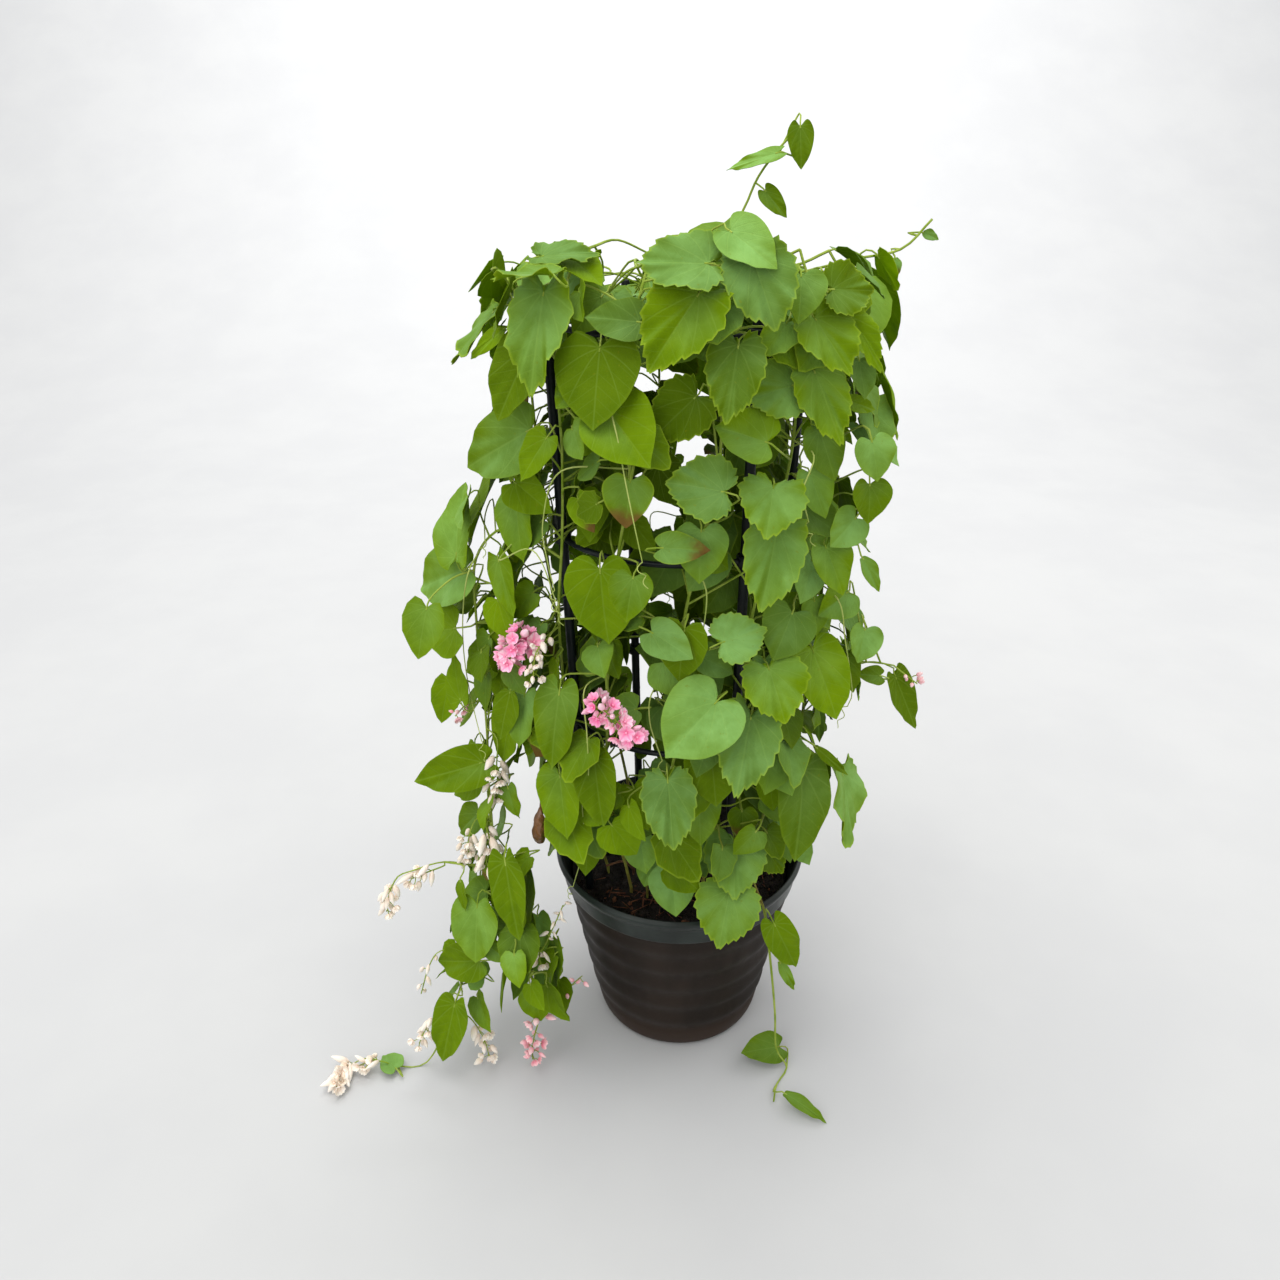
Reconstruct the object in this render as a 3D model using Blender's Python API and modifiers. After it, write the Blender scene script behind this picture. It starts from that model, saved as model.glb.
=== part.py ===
"""Potted coral vine on a ring trellis. Metres, +Z up, origin at the middle of the pot's base."""
import math
import random

import bmesh
import bpy
from mathutils import Vector
from mathutils.bvhtree import BVHTree

# pot
POT_HEIGHT = 0.225
RIM_RADIUS = 0.140
COLLAR_RADIUS = 0.1325
WALL_TOP_RADIUS = 0.1265
BASE_RADIUS = 0.0925
WALL = 0.0024
RIBS = 5
RIB_DEPTH = 0.0020
POT_SIDES = 24
# soil
SOIL_TOP = 0.197
SOIL_RADIUS = 0.1200
# trellis
TRELLIS_RADIUS = 0.1225
TRELLIS_FLARE = 0.03
STAKE_RADIUS = 0.0045
STAKE_BOTTOM = 0.167
STAKE_TOP = 0.818
STAKE_ANGLES = (24.0, 114.0, 204.0, 294.0)
RING_HEIGHTS = {"ring_top": 0.803, "ring_middle": 0.612, "ring_low": 0.415}
RING_ROD = 0.0027
EYE_RADIUS = 0.0078
EYE_HEIGHT = 0.010
# plant
STEM_RADIUS = 0.0017
STEM_SIDES = 4
PETIOLE_RADIUS = 0.0010
BLADE = 0.0008
STEM_STANDOFF = 0.012
ROOT_DEPTH = 0.030
LEAF_STRETCH = 1.04
LEAF_SPREAD = 1.10
GAP = 0.0003
CLEAR = 0.0009
SEED = 11
TEETH = 5

rng = random.Random(SEED)

for ob in list(bpy.data.objects):
    bpy.data.objects.remove(ob, do_unlink=True)

part = bpy.data.collections.new("potted_coral_vine")
bpy.context.scene.collection.children.link(part)
spare = bpy.data.collections.new("cutters")
bpy.context.scene.collection.children.link(spare)


def material(name, colour, roughness, metallic=0.0):
    mat = bpy.data.materials.new(name)
    mat.use_nodes = True
    shader = mat.node_tree.nodes["Principled BSDF"]
    shader.inputs["Base Color"].default_value = (*colour, 1.0)
    shader.inputs["Roughness"].default_value = roughness
    shader.inputs["Metallic"].default_value = metallic
    return mat


pot_mat = material("pot_plastic", (0.022, 0.020, 0.019), 0.45)
soil_mat = material("soil", (0.035, 0.020, 0.013), 0.95)
trellis_mat = material("trellis_plastic", (0.008, 0.010, 0.011), 0.4)
leaf_mat = material("leaf", (0.13, 0.30, 0.07), 0.55)
twig_mat = material("old_stem", (0.16, 0.07, 0.035), 0.8)
pink_mat = material("pink_floret", (0.85, 0.14, 0.30), 0.6)
cream_mat = material("cream_bud", (0.90, 0.62, 0.50), 0.6)


def cyl(angle, radius, z):
    a = math.radians(angle)
    return Vector((radius * math.cos(a), radius * math.sin(a), z))


def trellis_at(z):
    return TRELLIS_RADIUS + TRELLIS_FLARE * (z - 0.6)


def from_mesh(name, bm, mat, where=part):
    bmesh.ops.recalc_face_normals(bm, faces=bm.faces)
    if bm.calc_volume(signed=True) < 0:
        bmesh.ops.reverse_faces(bm, faces=bm.faces)
    mesh = bpy.data.meshes.new(name)
    bm.to_mesh(mesh)
    bm.free()
    mesh.materials.append(mat)
    ob = bpy.data.objects.new(name, mesh)
    where.objects.link(ob)
    return ob


def from_lists(name, verts, faces, mat, where=part):
    bm = bmesh.new()
    made = [bm.verts.new(v) for v in verts]
    for face in faces:
        bm.faces.new([made[i] for i in face])
    return from_mesh(name, bm, mat, where)


def apply_all(ob):
    """Turns the object's modifiers into plain mesh."""
    graph = bpy.context.evaluated_depsgraph_get()
    graph.update()
    mesh = bpy.data.meshes.new_from_object(ob.evaluated_get(graph))
    ob.modifiers.clear()
    old = ob.data
    ob.data = mesh
    mesh.name = ob.name
    bpy.data.meshes.remove(old)


def boolean_with(ob, others, operation, solver="EXACT"):
    """One Boolean on a throwaway collection; the others are removed after it."""
    group = bpy.data.collections.new("operands")
    spare.children.link(group)
    for other in others:
        for owner in list(other.users_collection):
            owner.objects.unlink(other)
        group.objects.link(other)
        other.hide_render = True
        other.display_type = "WIRE"
    mod = ob.modifiers.new("join", "BOOLEAN")
    mod.operation = operation
    mod.operand_type = "COLLECTION"
    mod.collection = group
    mod.solver = solver
    apply_all(ob)
    for other in list(group.objects):
        bpy.data.objects.remove(other, do_unlink=True)
    bpy.data.collections.remove(group)
    drop_crumbs(ob)


def drop_crumbs(ob, least=16):
    """Closes up slivers and deletes islands of a few faces, which a union can leave where faces nearly meet."""
    bm = bmesh.new()
    bm.from_mesh(ob.data)
    bmesh.ops.triangulate(bm, faces=bm.faces)
    for distance in (0.00004, 0.00003, 0.00002, 0.00001, 0.000006):
        tidy = bm.copy()
        bmesh.ops.dissolve_degenerate(tidy, dist=distance, edges=tidy.edges)
        bmesh.ops.triangulate(tidy, faces=tidy.faces)
        closed = all(len(edge.link_faces) == 2 for edge in tidy.edges)
        if closed:
            bm, tidy = tidy, bm
        tidy.free()
        if closed:
            break
    left = set(bm.faces)
    crumbs = []
    while left:
        start = left.pop()
        island, queue = [start], [start]
        while queue:
            for edge in queue.pop().edges:
                for face in edge.link_faces if len(edge.link_faces) == 2 else ():
                    if face in left:
                        left.remove(face)
                        island.append(face)
                        queue.append(face)
        if len(island) < least:
            crumbs += island
    if crumbs:
        bmesh.ops.delete(bm, geom=crumbs, context="FACES")
    bm.to_mesh(ob.data)
    bm.free()


def turned(name, profile, sides, mat, where=part):
    """Screws a profile in the XZ plane, ordered from top to bottom, once round Z."""
    mesh = bpy.data.meshes.new(name)
    mesh.from_pydata([(r, 0.0, z) for r, z in profile], [(i, i + 1) for i in range(len(profile) - 1)], [])
    mesh.materials.append(mat)
    ob = bpy.data.objects.new(name, mesh)
    where.objects.link(ob)
    mod = ob.modifiers.new("turn", "SCREW")
    mod.axis = "Z"
    mod.steps = sides
    mod.render_steps = sides
    mod.use_merge_vertices = True
    mod.merge_threshold = 0.0001
    mod.use_normal_calculate = True
    mod.use_smooth_shade = False
    apply_all(ob)
    bm = bmesh.new()
    bm.from_mesh(ob.data)
    bmesh.ops.remove_doubles(bm, verts=bm.verts, dist=0.00005)
    bmesh.ops.recalc_face_normals(bm, faces=bm.faces)
    bm.to_mesh(ob.data)
    bm.free()
    return ob


def rod(name, foot, head, radius, sides, mat, where=part):
    bm = bmesh.new()
    length = (head - foot).length
    bmesh.ops.create_cone(bm, cap_ends=True, segments=sides, radius1=radius, radius2=radius, depth=length)
    turn = (head - foot).to_track_quat("Z", "Y").to_matrix().to_4x4()
    bmesh.ops.transform(bm, matrix=turn, verts=bm.verts)
    bmesh.ops.translate(bm, vec=(foot + head) / 2, verts=bm.verts)
    return from_mesh(name, bm, mat, where)


# pot: ribbed wall, stepped collar and a wide rolled lip
def pot_profile():
    top, bottom = 0.186, 0.016
    outer = [(RIM_RADIUS - 0.0035, POT_HEIGHT), (RIM_RADIUS, POT_HEIGHT - 0.003)]
    outer.append((RIM_RADIUS - 0.0008, POT_HEIGHT - 0.007))
    outer += [(COLLAR_RADIUS + 0.0015, 0.210), (COLLAR_RADIUS, 0.192), (WALL_TOP_RADIUS, 0.188)]
    steps = RIBS * 2
    for i in range(1, steps + 1):
        t = i / (steps + 1)
        r = WALL_TOP_RADIUS + (BASE_RADIUS + 0.0035 - WALL_TOP_RADIUS) * t
        bulge = RIB_DEPTH if i % 2 else -RIB_DEPTH * 0.4
        outer.append((r + bulge, top + (bottom - top) * t))
    outer += [(BASE_RADIUS + 0.003, 0.010), (BASE_RADIUS, 0.0035), (BASE_RADIUS - 0.0045, 0.0)]
    inner = [(RIM_RADIUS - 0.0065, POT_HEIGHT - 0.003), (COLLAR_RADIUS - WALL, 0.207)]
    inner.append((WALL_TOP_RADIUS - WALL - 0.0003, 0.186))
    inner += [(BASE_RADIUS - WALL + 0.001, 0.012), (BASE_RADIUS - WALL - 0.006, WALL + 0.0006)]
    return [(0.0, WALL + 0.0006)] + inner[::-1] + outer + [(0.0, 0.0)]


turned("pot", pot_profile(), POT_SIDES, pot_mat)

# soil: a tapered plug with a lumpy top, 0.3 mm off the pot's floor
soil_foot = WALL + 0.0006 + GAP
soil_profile = [(0.0, SOIL_TOP + 0.001), (0.035, SOIL_TOP + 0.002), (0.075, SOIL_TOP - 0.001)]
soil_profile += [(0.105, SOIL_TOP - 0.003), (SOIL_RADIUS + 0.0023, SOIL_TOP - 0.006)]
soil_profile += [(BASE_RADIUS - WALL, 0.0135), (BASE_RADIUS - WALL - 0.0075, soil_foot), (0.0, soil_foot)]
soil = turned("soil", soil_profile, POT_SIDES, soil_mat)
for vert in soil.data.vertices:
    x, y, z = vert.co
    if z > SOIL_TOP - 0.0045:
        vert.co.z += 0.0022 * math.sin(x * 95.0 + 1.3) * math.cos(y * 83.0 - 0.7)
holes = []


def hole(x, y, radius, depth_z, sides=8):
    """A plain vertical hole for a stem or a stake."""
    grown = radius / math.cos(math.pi / sides) + GAP
    foot = Vector((x, y, depth_z - GAP))
    head = Vector((x, y, SOIL_TOP + 0.02))
    holes.append(rod("hole", foot, head, grown, sides, soil_mat, spare))


# stakes
for i, angle in enumerate(STAKE_ANGLES):
    foot = cyl(angle, trellis_at(STAKE_BOTTOM), STAKE_BOTTOM)
    head = cyl(angle, trellis_at(STAKE_TOP), STAKE_TOP)
    rod("stake_%s" % "abcd"[i], foot, head, STAKE_RADIUS, 8, trellis_mat)
    middle = cyl(angle, trellis_at(0.182), 0.182)
    hole(middle.x, middle.y, STAKE_RADIUS + 0.0010, STAKE_BOTTOM - 0.001)

# rings: a round rod with four eyes that the stakes pass through
for name, z in RING_HEIGHTS.items():
    bm = bmesh.new()
    sides, around = 4, 20
    radius = trellis_at(z)
    rows = []
    for i in range(around):
        a = 360.0 * i / around
        row = []
        for j in range(sides):
            b = 2 * math.pi * j / sides
            row.append(bm.verts.new(cyl(a, radius + RING_ROD * math.cos(b), z + RING_ROD * math.sin(b))))
        rows.append(row)
    for i in range(around):
        for j in range(sides):
            a, b = rows[i], rows[(i + 1) % around]
            bm.faces.new((a[j], b[j], b[(j + 1) % sides], a[(j + 1) % sides]))
    ring = from_mesh(name, bm, trellis_mat)
    eyes = []
    cuts = []
    for angle in STAKE_ANGLES:
        low = cyl(angle, trellis_at(z - EYE_HEIGHT / 2), z - EYE_HEIGHT / 2)
        high = cyl(angle, trellis_at(z + EYE_HEIGHT / 2), z + EYE_HEIGHT / 2)
        along = (high - low).normalized()
        eyes.append(rod("eye", low, high, EYE_RADIUS, 6, trellis_mat, spare))
        bore = STAKE_RADIUS / math.cos(math.pi / 6) + GAP
        cuts.append(rod("eye_cut", low - along * 0.01, high + along * 0.01, bore, 6, trellis_mat, spare))
    boolean_with(ring, eyes, "UNION")
    boolean_with(ring, cuts, "DIFFERENCE")


# plant
def smooth_path(points, step=0.03):
    """Catmull-Rom through the points, sampled about every step metres."""
    pts = [points[0] * 2 - points[1]] + list(points) + [points[-1] * 2 - points[-2]]
    path = [points[0].copy()]
    for i in range(1, len(pts) - 2):
        a, b, c, d = pts[i - 1:i + 3]
        count = max(1, round((c - b).length / step))
        for k in range(1, count + 1):
            t = k / count
            p = (b * 2 + (c - a) * t + (a * 2 - b * 5 + c * 4 - d) * t * t + (b * 3 - a - c * 3 + d) * t ** 3) / 2
            path.append(p)
    return path


def tube_lists(path, radii, sides, up=Vector((0.13, 0.21, 1.0))):
    """Closed tube as vertex and face lists; its frame is carried along the path."""
    verts, faces = [], []
    aim = (path[1] - path[0]).normalized()
    side = aim.cross(up)
    if side.length < 0.1:
        side = aim.cross(Vector((1.0, 0.2, 0.0)))
    side.normalize()
    for i, p in enumerate(path):
        if i == 0:
            aim = (path[1] - path[0]).normalized()
        elif i == len(path) - 1:
            aim = (path[-1] - path[-2]).normalized()
        else:
            aim = (path[i + 1] - path[i - 1]).normalized()
        side = (side - aim * side.dot(aim)).normalized()
        other = aim.cross(side)
        for j in range(sides):
            a = 2 * math.pi * j / sides
            verts.append(p + (side * math.cos(a) + other * math.sin(a)) * radii[i])
    for i in range(len(path) - 1):
        for j in range(sides):
            a, b = i * sides + j, i * sides + (j + 1) % sides
            faces.append((a, a + sides, b + sides))
            faces.append((a, b + sides, b))
    faces.append(tuple(range(sides)))
    last = (len(path) - 1) * sides
    faces.append(tuple(last + j for j in reversed(range(sides))))
    return verts, faces


class Vine:
    """A stem that stands in the soil, its side branches and the leaves fused to it."""

    def __init__(self, name, points, thick=STEM_RADIUS, rooted=True, step=0.07):
        self.name = name
        self.paths = []
        self.pieces = []
        self.used = []
        self.forks = []
        if rooted:
            foot = points[0].copy()
            foot.z = SOIL_TOP - ROOT_DEPTH
            lift = points[0].copy()
            lift.z = SOIL_TOP + 0.008
            points = [lift] + list(points[1:])
            path = [foot] + smooth_path(points, step)
            hole(foot.x, foot.y, thick, foot.z, 5)
        else:
            path = smooth_path(points, step)
        self.add(path, thick)

    def branch(self, points, thick=STEM_RADIUS * 0.8, step=0.045):
        """A side stem; it starts in the middle of the nearest stem of this vine."""
        spots = [a.lerp(b, t / 4) for path in self.paths for a, b in zip(path[1:], path[2:]) for t in range(4)]
        root = min(spots, key=lambda p: (p - points[0]).length)
        self.forks.append(root)
        self.add(smooth_path([root] + list(points[1:]), step), thick)

    def add(self, path, thick):
        n = len(path)
        radii = [thick * (1.0 - 0.35 * i / (n - 1)) for i in range(n)]
        verts, faces = tube_lists(path, radii, STEM_SIDES)
        remember(verts, faces, self, len(self.paths))
        self.paths.append(path)
        self.pieces.insert(len(self.paths) - 1, (verts, faces))


placed = []


def remember(verts, faces, owner, what=-1):
    """Keeps a piece for the tests; what is the number of a vine's stem, or -1."""
    lows = [min(v[k] for v in verts) for k in range(3)]
    highs = [max(v[k] for v in verts) for k in range(3)]
    placed.append((lows, highs, BVHTree.FromPolygons(verts, faces), owner, what))


def is_clear(verts, faces, skip=(None, -1)):
    lows = [min(v[k] for v in verts) - 0.0004 for k in range(3)]
    highs = [max(v[k] for v in verts) + 0.0004 for k in range(3)]
    tree = None
    for low, high, other, owner, what in placed:
        if owner is skip[0] and what == skip[1]:
            continue
        if any(low[k] > highs[k] or high[k] < lows[k] for k in range(3)):
            continue
        if tree is None:
            tree = BVHTree.FromPolygons(verts, faces)
        if tree.overlap(other):
            return False
    return True


def remember_object(ob):
    verts = [v.co.copy() for v in ob.data.vertices]
    faces = [tuple(f.vertices) for f in ob.data.polygons]
    remember(verts, faces, ob)


for ob in part.objects:
    remember_object(ob)

HEART = ((0.0, 0.0), (-0.08, 0.10), (-0.19, 0.42), (-0.06, 0.84), (0.27, 1.0), (0.68, 0.70), (1.0, 0.0))
SMALL_HEART = ((0.0, 0.0), (-0.08, 0.13), (-0.17, 0.58), (0.17, 1.0), (0.63, 0.74), (1.0, 0.0))
TINY_HEART = ((0.0, 0.0), (-0.14, 0.53), (0.16, 1.0), (0.63, 0.72), (1.0, 0.0))
NARROW = ((0.0, 0.0), (-0.02, 0.35), (0.28, 1.0), (0.68, 0.70), (1.0, 0.0))


def heart_edge(kind):
    """Half outline as (along, across) fractions of the length and the half breadth."""
    if kind == "n":
        return list(NARROW)
    if kind == "s":
        return list(SMALL_HEART)
    if kind == "f":
        return list(TINY_HEART)
    if kind == "b":
        return list(HEART)
    edge = [HEART[0], HEART[1]]
    fine = smooth_path([Vector((u, v, 0.0)) for u, v in HEART[1:]], 0.02)
    count = TEETH + 1
    for i in range(1, count):
        p = fine[round(i * (len(fine) - 1) / count)]
        inset = 0.90 if i % 2 == 0 else 1.03
        edge.append((0.36 + (p.x - 0.36) * inset, p.y * inset))
    edge.append(HEART[-1])
    return edge


class Leaf:
    """A heart blade on its petiole, as one closed shell."""

    def __init__(self, base, face, lean, swing, length, breadth, kind, bend):
        self.base = base
        self.length = length
        self.half = breadth / 2
        self.kind = kind
        if kind == "s" and length > 0.064:
            self.kind = "b"
        elif kind == "s" and length < 0.048:
            self.kind = "f"
        self.bend = bend
        out = Vector((math.cos(face), math.sin(face), 0.0))
        up = Vector((0.0, 0.0, 1.0))
        self.normal = out * math.cos(lean) + up * math.sin(lean)
        down = out * math.sin(lean) - up * math.cos(lean)
        right = up.cross(out)
        self.tip = down * math.cos(swing) + right * math.sin(swing)
        self.side = self.normal.cross(self.tip)

    def at(self, u, v):
        fold, droop, wave, phase = self.bend
        w = abs(v) * self.half / self.length
        rise = fold * w - droop * max(u, 0.0) ** 2 + wave * math.sin(7.0 * u + phase) * abs(v)
        along = self.tip * (u * self.length) + self.side * (v * self.half)
        return self.base + along + self.normal * (rise * self.length)

    def lists(self, start=None, back=0.008, grow=0.0):
        """Vertex and face lists; with start, the petiole runs from there into the sinus."""
        edge = heart_edge(self.kind)
        n = len(edge) - 1
        loop = [self.at(u, v) for u, v in edge] + [self.at(u, -v) for u, v in edge[-2:0:-1]]
        ribs = [self.at(0.33, 0.0), self.at(0.66, 0.0)]
        top = loop + ribs
        lift = self.normal * (BLADE / 2 + grow)
        verts = [p + lift for p in top] + [p - lift for p in top]
        size = len(loop)
        low = len(top)
        a, b = size, size + 1
        tris = []
        for sign in (1, -1):
            ids = [(sign * k) % size for k in range(n + 1)]
            half_way = n // 2 + (1 if n == 5 else 0)
            side_tris = []
            for k in range(n):
                hub = a if k < half_way else b
                side_tris.append((ids[k], ids[k + 1], hub))
            side_tris.append((ids[half_way], b, a))
            del side_tris[n - 1]
            side_tris.append((ids[n - 1], ids[n], b))
            tris += side_tris if sign == 1 else [t[::-1] for t in side_tris]
        faces = [t for t in tris] + [tuple(i + low for i in t[::-1]) for t in tris]
        for k in range(size):
            m = (k + 1) % size
            if start is not None and (k == 0 or m == 0):
                continue
            faces.append((k, k + low, m))
            faces.append((m, k + low, m + low))
        if start is None:
            return verts, faces
        end = self.at(-0.05, 0.0) - self.tip * 0.0012
        bend = end - self.tip * 0.010 - self.normal * back
        path = [start, bend, end]
        first = len(verts)
        for i, p in enumerate(path):
            aim = (path[min(i + 1, 2)] - path[max(i - 1, 0)]).normalized()
            high = (self.normal - aim * self.normal.dot(aim)).normalized()
            right = high.cross(aim)
            for angle in (90.0, -30.0, 210.0):
                c, s = math.cos(math.radians(angle)), math.sin(math.radians(angle))
                verts.append(p + (right * c + high * s) * (PETIOLE_RADIUS + grow))
        for i in range(2):
            r, q = first + 3 * i, first + 3 * i + 3
            for j in range(3):
                k = (j + 1) % 3
                faces.append((r + j, q + j, q + k))
                faces.append((r + j, q + k, r + k))
        faces.append((first, first + 1, first + 2))
        r0, r1, r2 = first + 6, first + 7, first + 8
        plus = self.side.dot(self.normal.cross(self.tip)) > 0
        left, right = (size - 1, 1)
        if not plus:
            left, right = right, left
        near, far = verts[r1] - verts[r2], verts[right] - verts[left]
        if near.dot(far) < 0:
            r1, r2 = r2, r1
        faces += [(left, 0, r0), (0, right, r0), (right, r1, r0), (right, right + low, r1)]
        faces += [(right + low, low, r1), (low, r2, r1), (low, left + low, r2), (left + low, left, r2), (left, r0, r2)]
        return verts, faces


NUDGES = [(0, 0, 0, 0, 1.0), (5, 0, 0, 0, 1.0), (-5, 0, 0, 0, 1.0), (8, 8, 4, 0, 1.0), (8, -8, 4, 0, 1.0)]
NUDGES += [(12, 0, -6, 3, 1.0), (-9, 6, -6, -3, 1.0), (12, 12, 8, 4, 0.95), (12, -12, 8, -4, 0.95)]
NUDGES += [(17, 0, 6, 0, 0.95), (-13, -8, -8, 4, 0.9), (20, 10, 10, -6, 0.9), (20, -10, 10, 6, 0.9)]
NUDGES += [(5, 18, 12, 8, 0.85), (5, -18, 12, -8, 0.85), (24, 0, 14, 10, 0.85), (-8, 20, 0, -10, 0.8)]
NUDGES += [(0, -22, 16, 10, 0.8), (26, 14, -4, -12, 0.8), (14, 25, -8, 12, 0.75), (14, -25, -8, -12, 0.75)]

missed = []
leaf_count = 0


def grow_leaf(vines, angle, z, reach, length, breadth, swing, lean, kind, turn=0.5, label=""):
    """Tries the wanted place first, then small moves, until the leaf touches nothing."""
    global leaf_count
    length *= LEAF_STRETCH
    breadth *= LEAF_SPREAD
    fold = rng.uniform(0.10, 0.34)
    droop = rng.uniform(0.04, 0.16)
    wave = rng.uniform(0.01, 0.035) if kind != "t" else rng.uniform(0.02, 0.05)
    phase = rng.uniform(0.0, 6.0)
    for dr, ds, dl, dz, scale in NUDGES:
        base = cyl(angle, (reach + dr) / 1000.0, (z + dz) / 1000.0)
        face = math.radians(angle + turn * (265.0 - angle)) if turn else math.radians(angle)
        leaf = Leaf(base, face, math.radians(lean + dl), math.radians(swing + ds), length * scale / 1000.0,
                    breadth * scale / 1000.0, kind, (fold, droop, wave, phase))
        grown = leaf.lists(None, grow=CLEAR)
        if min(v.z for v in grown[0]) < 0.0015 or not is_clear(*grown):
            continue
        blade = leaf.lists(None, grow=0.0002)
        blade_tree = BVHTree.FromPolygons(*blade)
        starts = []
        for vine in vines:
            for number, path in enumerate(vine.paths):
                for i in range(2 if number == 0 else 1, len(path) - 1):
                    for t in (0.0, 0.5):
                        p = path[i].lerp(path[i + 1], t)
                        cost = (p - base).length + max(0.0, p.z - base.z) * 0.8
                        spaced = all((p - q).length > 0.007 for q in vine.used)
                        if spaced and all((p - q).length > 0.014 for q in vine.forks):
                            starts.append((cost, p, vine, number))
        starts.sort(key=lambda s: s[0])
        for cost, p, vine, number in starts[:7]:
            for back in (0.008, 0.003, 0.015):
                end = leaf.at(-0.05, 0.0) - leaf.tip * 0.0012
                bend = end - leaf.tip * 0.010 - leaf.normal * back
                way = (bend - p).normalized()
                free = [p + way * 0.0045, bend, end]
                if (bend - p).length < 0.009:
                    continue
                tube = tube_lists(free, [PETIOLE_RADIUS + CLEAR] * 3, 4)
                if min(v.z for v in tube[0]) < 0.001 or not is_clear(*tube, skip=(vine, number)):
                    continue
                first_run = BVHTree.FromPolygons(*tube_lists(free[:2], [PETIOLE_RADIUS] * 2, 3))
                if first_run.overlap(blade_tree):
                    continue
                late = p + way * min(0.012, (bend - p).length * 0.8)
                if not is_clear(*tube_lists([late, bend, end], [PETIOLE_RADIUS + 0.0003] * 3, 4)):
                    continue
                verts, faces = leaf.lists(p, back)
                vine.pieces.append((verts, faces))
                vine.used.append(p)
                blade = leaf.lists(None)
                remember(*blade, vine)
                remember(*tube_lists([p + way * 0.003, bend, end], [PETIOLE_RADIUS] * 3, 3), vine)
                leaf_count += 1
                return leaf
    missed.append((label, angle, z))
    return None


def climber(name, foot_angle, top_angle, foot_radius, top, extra=()):
    """A stem that leaves the soil inside the trellis and climbs outside its rings."""
    points = [cyl(foot_angle, foot_radius, SOIL_TOP), cyl(foot_angle, foot_radius + 0.014, 0.262)]
    points.append(cyl(foot_angle, trellis_at(0.32) + 0.006, 0.322))
    heights = (0.39, 0.46, 0.54, 0.62, 0.70, 0.78)
    for i, z in enumerate(heights):
        t = (i + 1) / len(heights)
        wander = 2.6 * math.sin(1.9 * i + foot_angle)
        points.append(cyl(foot_angle + (top_angle - foot_angle) * t + wander, trellis_at(z) + STEM_STANDOFF, z))
    points.append(cyl(top_angle + 2, trellis_at(0.83) + 0.011, 0.828))
    if extra:
        points += list(extra)
    else:
        points.append(cyl(top_angle + 4, trellis_at(0.83) - 0.006, top))
    return Vine(name, points)


left = climber("vine_left", 196, 222, 0.084, 0.862)
front_left = climber("vine_front_left", 227, 251, 0.080, 0.858)
front = climber("vine_front", 258, 281, 0.078, 0.866)
front_right = climber("vine_front_right", 283, 310, 0.088, 0.862)
right = climber("vine_right", 313, 339, 0.086, 0.856)
shoot_b = [Vector((0.146, 0.022, 0.842)), Vector((0.186, 0.0, 0.853)), Vector((0.210, -0.002, 0.877))]
back_right = climber("vine_back_right", 346, 371, 0.084, 0.86, shoot_b)
shoot_a = [Vector((0.062, 0.112, 0.845)), Vector((0.053, 0.082, 0.868)), Vector((0.061, 0.078, 0.889))]
shoot_a += [Vector((0.070, 0.078, 0.909)), Vector((0.086, 0.078, 0.930)), Vector((0.101, 0.078, 0.945))]
back_a = climber("vine_back_a", 38, 62, 0.082, 0.86, shoot_a)
back_b = climber("vine_back_b", 76, 99, 0.086, 0.838)
back_left = climber("vine_back_left", 128, 152, 0.084, 0.838)
side_left = climber("vine_side_left", 160, 186, 0.086, 0.842)

# the left vine's hanging branch, down to the floor, and its side twigs
left.branch([cyl(209, 0.1365, 0.612), cyl(200, 0.170, 0.625), cyl(193, 0.200, 0.590), cyl(191, 0.205, 0.52),
             cyl(191, 0.204, 0.44), cyl(191, 0.206, 0.36), cyl(193, 0.213, 0.29), Vector((-0.218, -0.062, 0.215)),
             Vector((-0.236, -0.084, 0.130)), Vector((-0.262, -0.104, 0.055)), Vector((-0.290, -0.116, 0.0035)),
             Vector((-0.322, -0.120, 0.0030)), Vector((-0.352, -0.110, 0.0030))], step=0.05)
left.branch([cyl(192, 0.2095, 0.325), Vector((-0.196, -0.085, 0.275)), Vector((-0.183, -0.108, 0.20)),
             Vector((-0.166, -0.112, 0.138)), Vector((-0.158, -0.110, 0.075))], STEM_RADIUS * 0.7, 0.05)
left.branch([Vector((-0.2165, -0.058, 0.235)), Vector((-0.250, -0.082, 0.262)), Vector((-0.286, -0.098, 0.262))],
            STEM_RADIUS * 0.6, 0.05)
right.branch([cyl(322, 0.1315, 0.478), cyl(330, 0.160, 0.482), cyl(336, 0.190, 0.492), cyl(340, 0.214, 0.486)],
             STEM_RADIUS * 0.7)
trail = Vine("vine_trailing", [cyl(304, 0.104, SOIL_TOP), cyl(303, 0.128, 0.246), cyl(302, 0.152, 0.239),
                               cyl(302, 0.166, 0.19), cyl(306, 0.168, 0.10), cyl(309, 0.166, 0.035),
                               Vector((0.118, -0.128, 0.0035)), Vector((0.104, -0.150, 0.0030)),
                               Vector((0.098, -0.172, 0.0030))], STEM_RADIUS * 0.85)
sprout_a = Vine("sprout_a", [cyl(286, 0.070, SOIL_TOP), cyl(288, 0.082, 0.245), cyl(290, 0.093, 0.300),
                             cyl(292, 0.097, 0.345)], STEM_RADIUS * 0.85)
sprout_b = Vine("sprout_b", [cyl(262, 0.058, SOIL_TOP), cyl(262, 0.066, 0.240), cyl(263, 0.080, 0.290)],
                STEM_RADIUS * 0.8)
sprout_c = Vine("sprout_c", [cyl(240, 0.074, SOIL_TOP), cyl(241, 0.082, 0.235), cyl(242, 0.090, 0.272)],
                STEM_RADIUS * 0.8)

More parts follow.
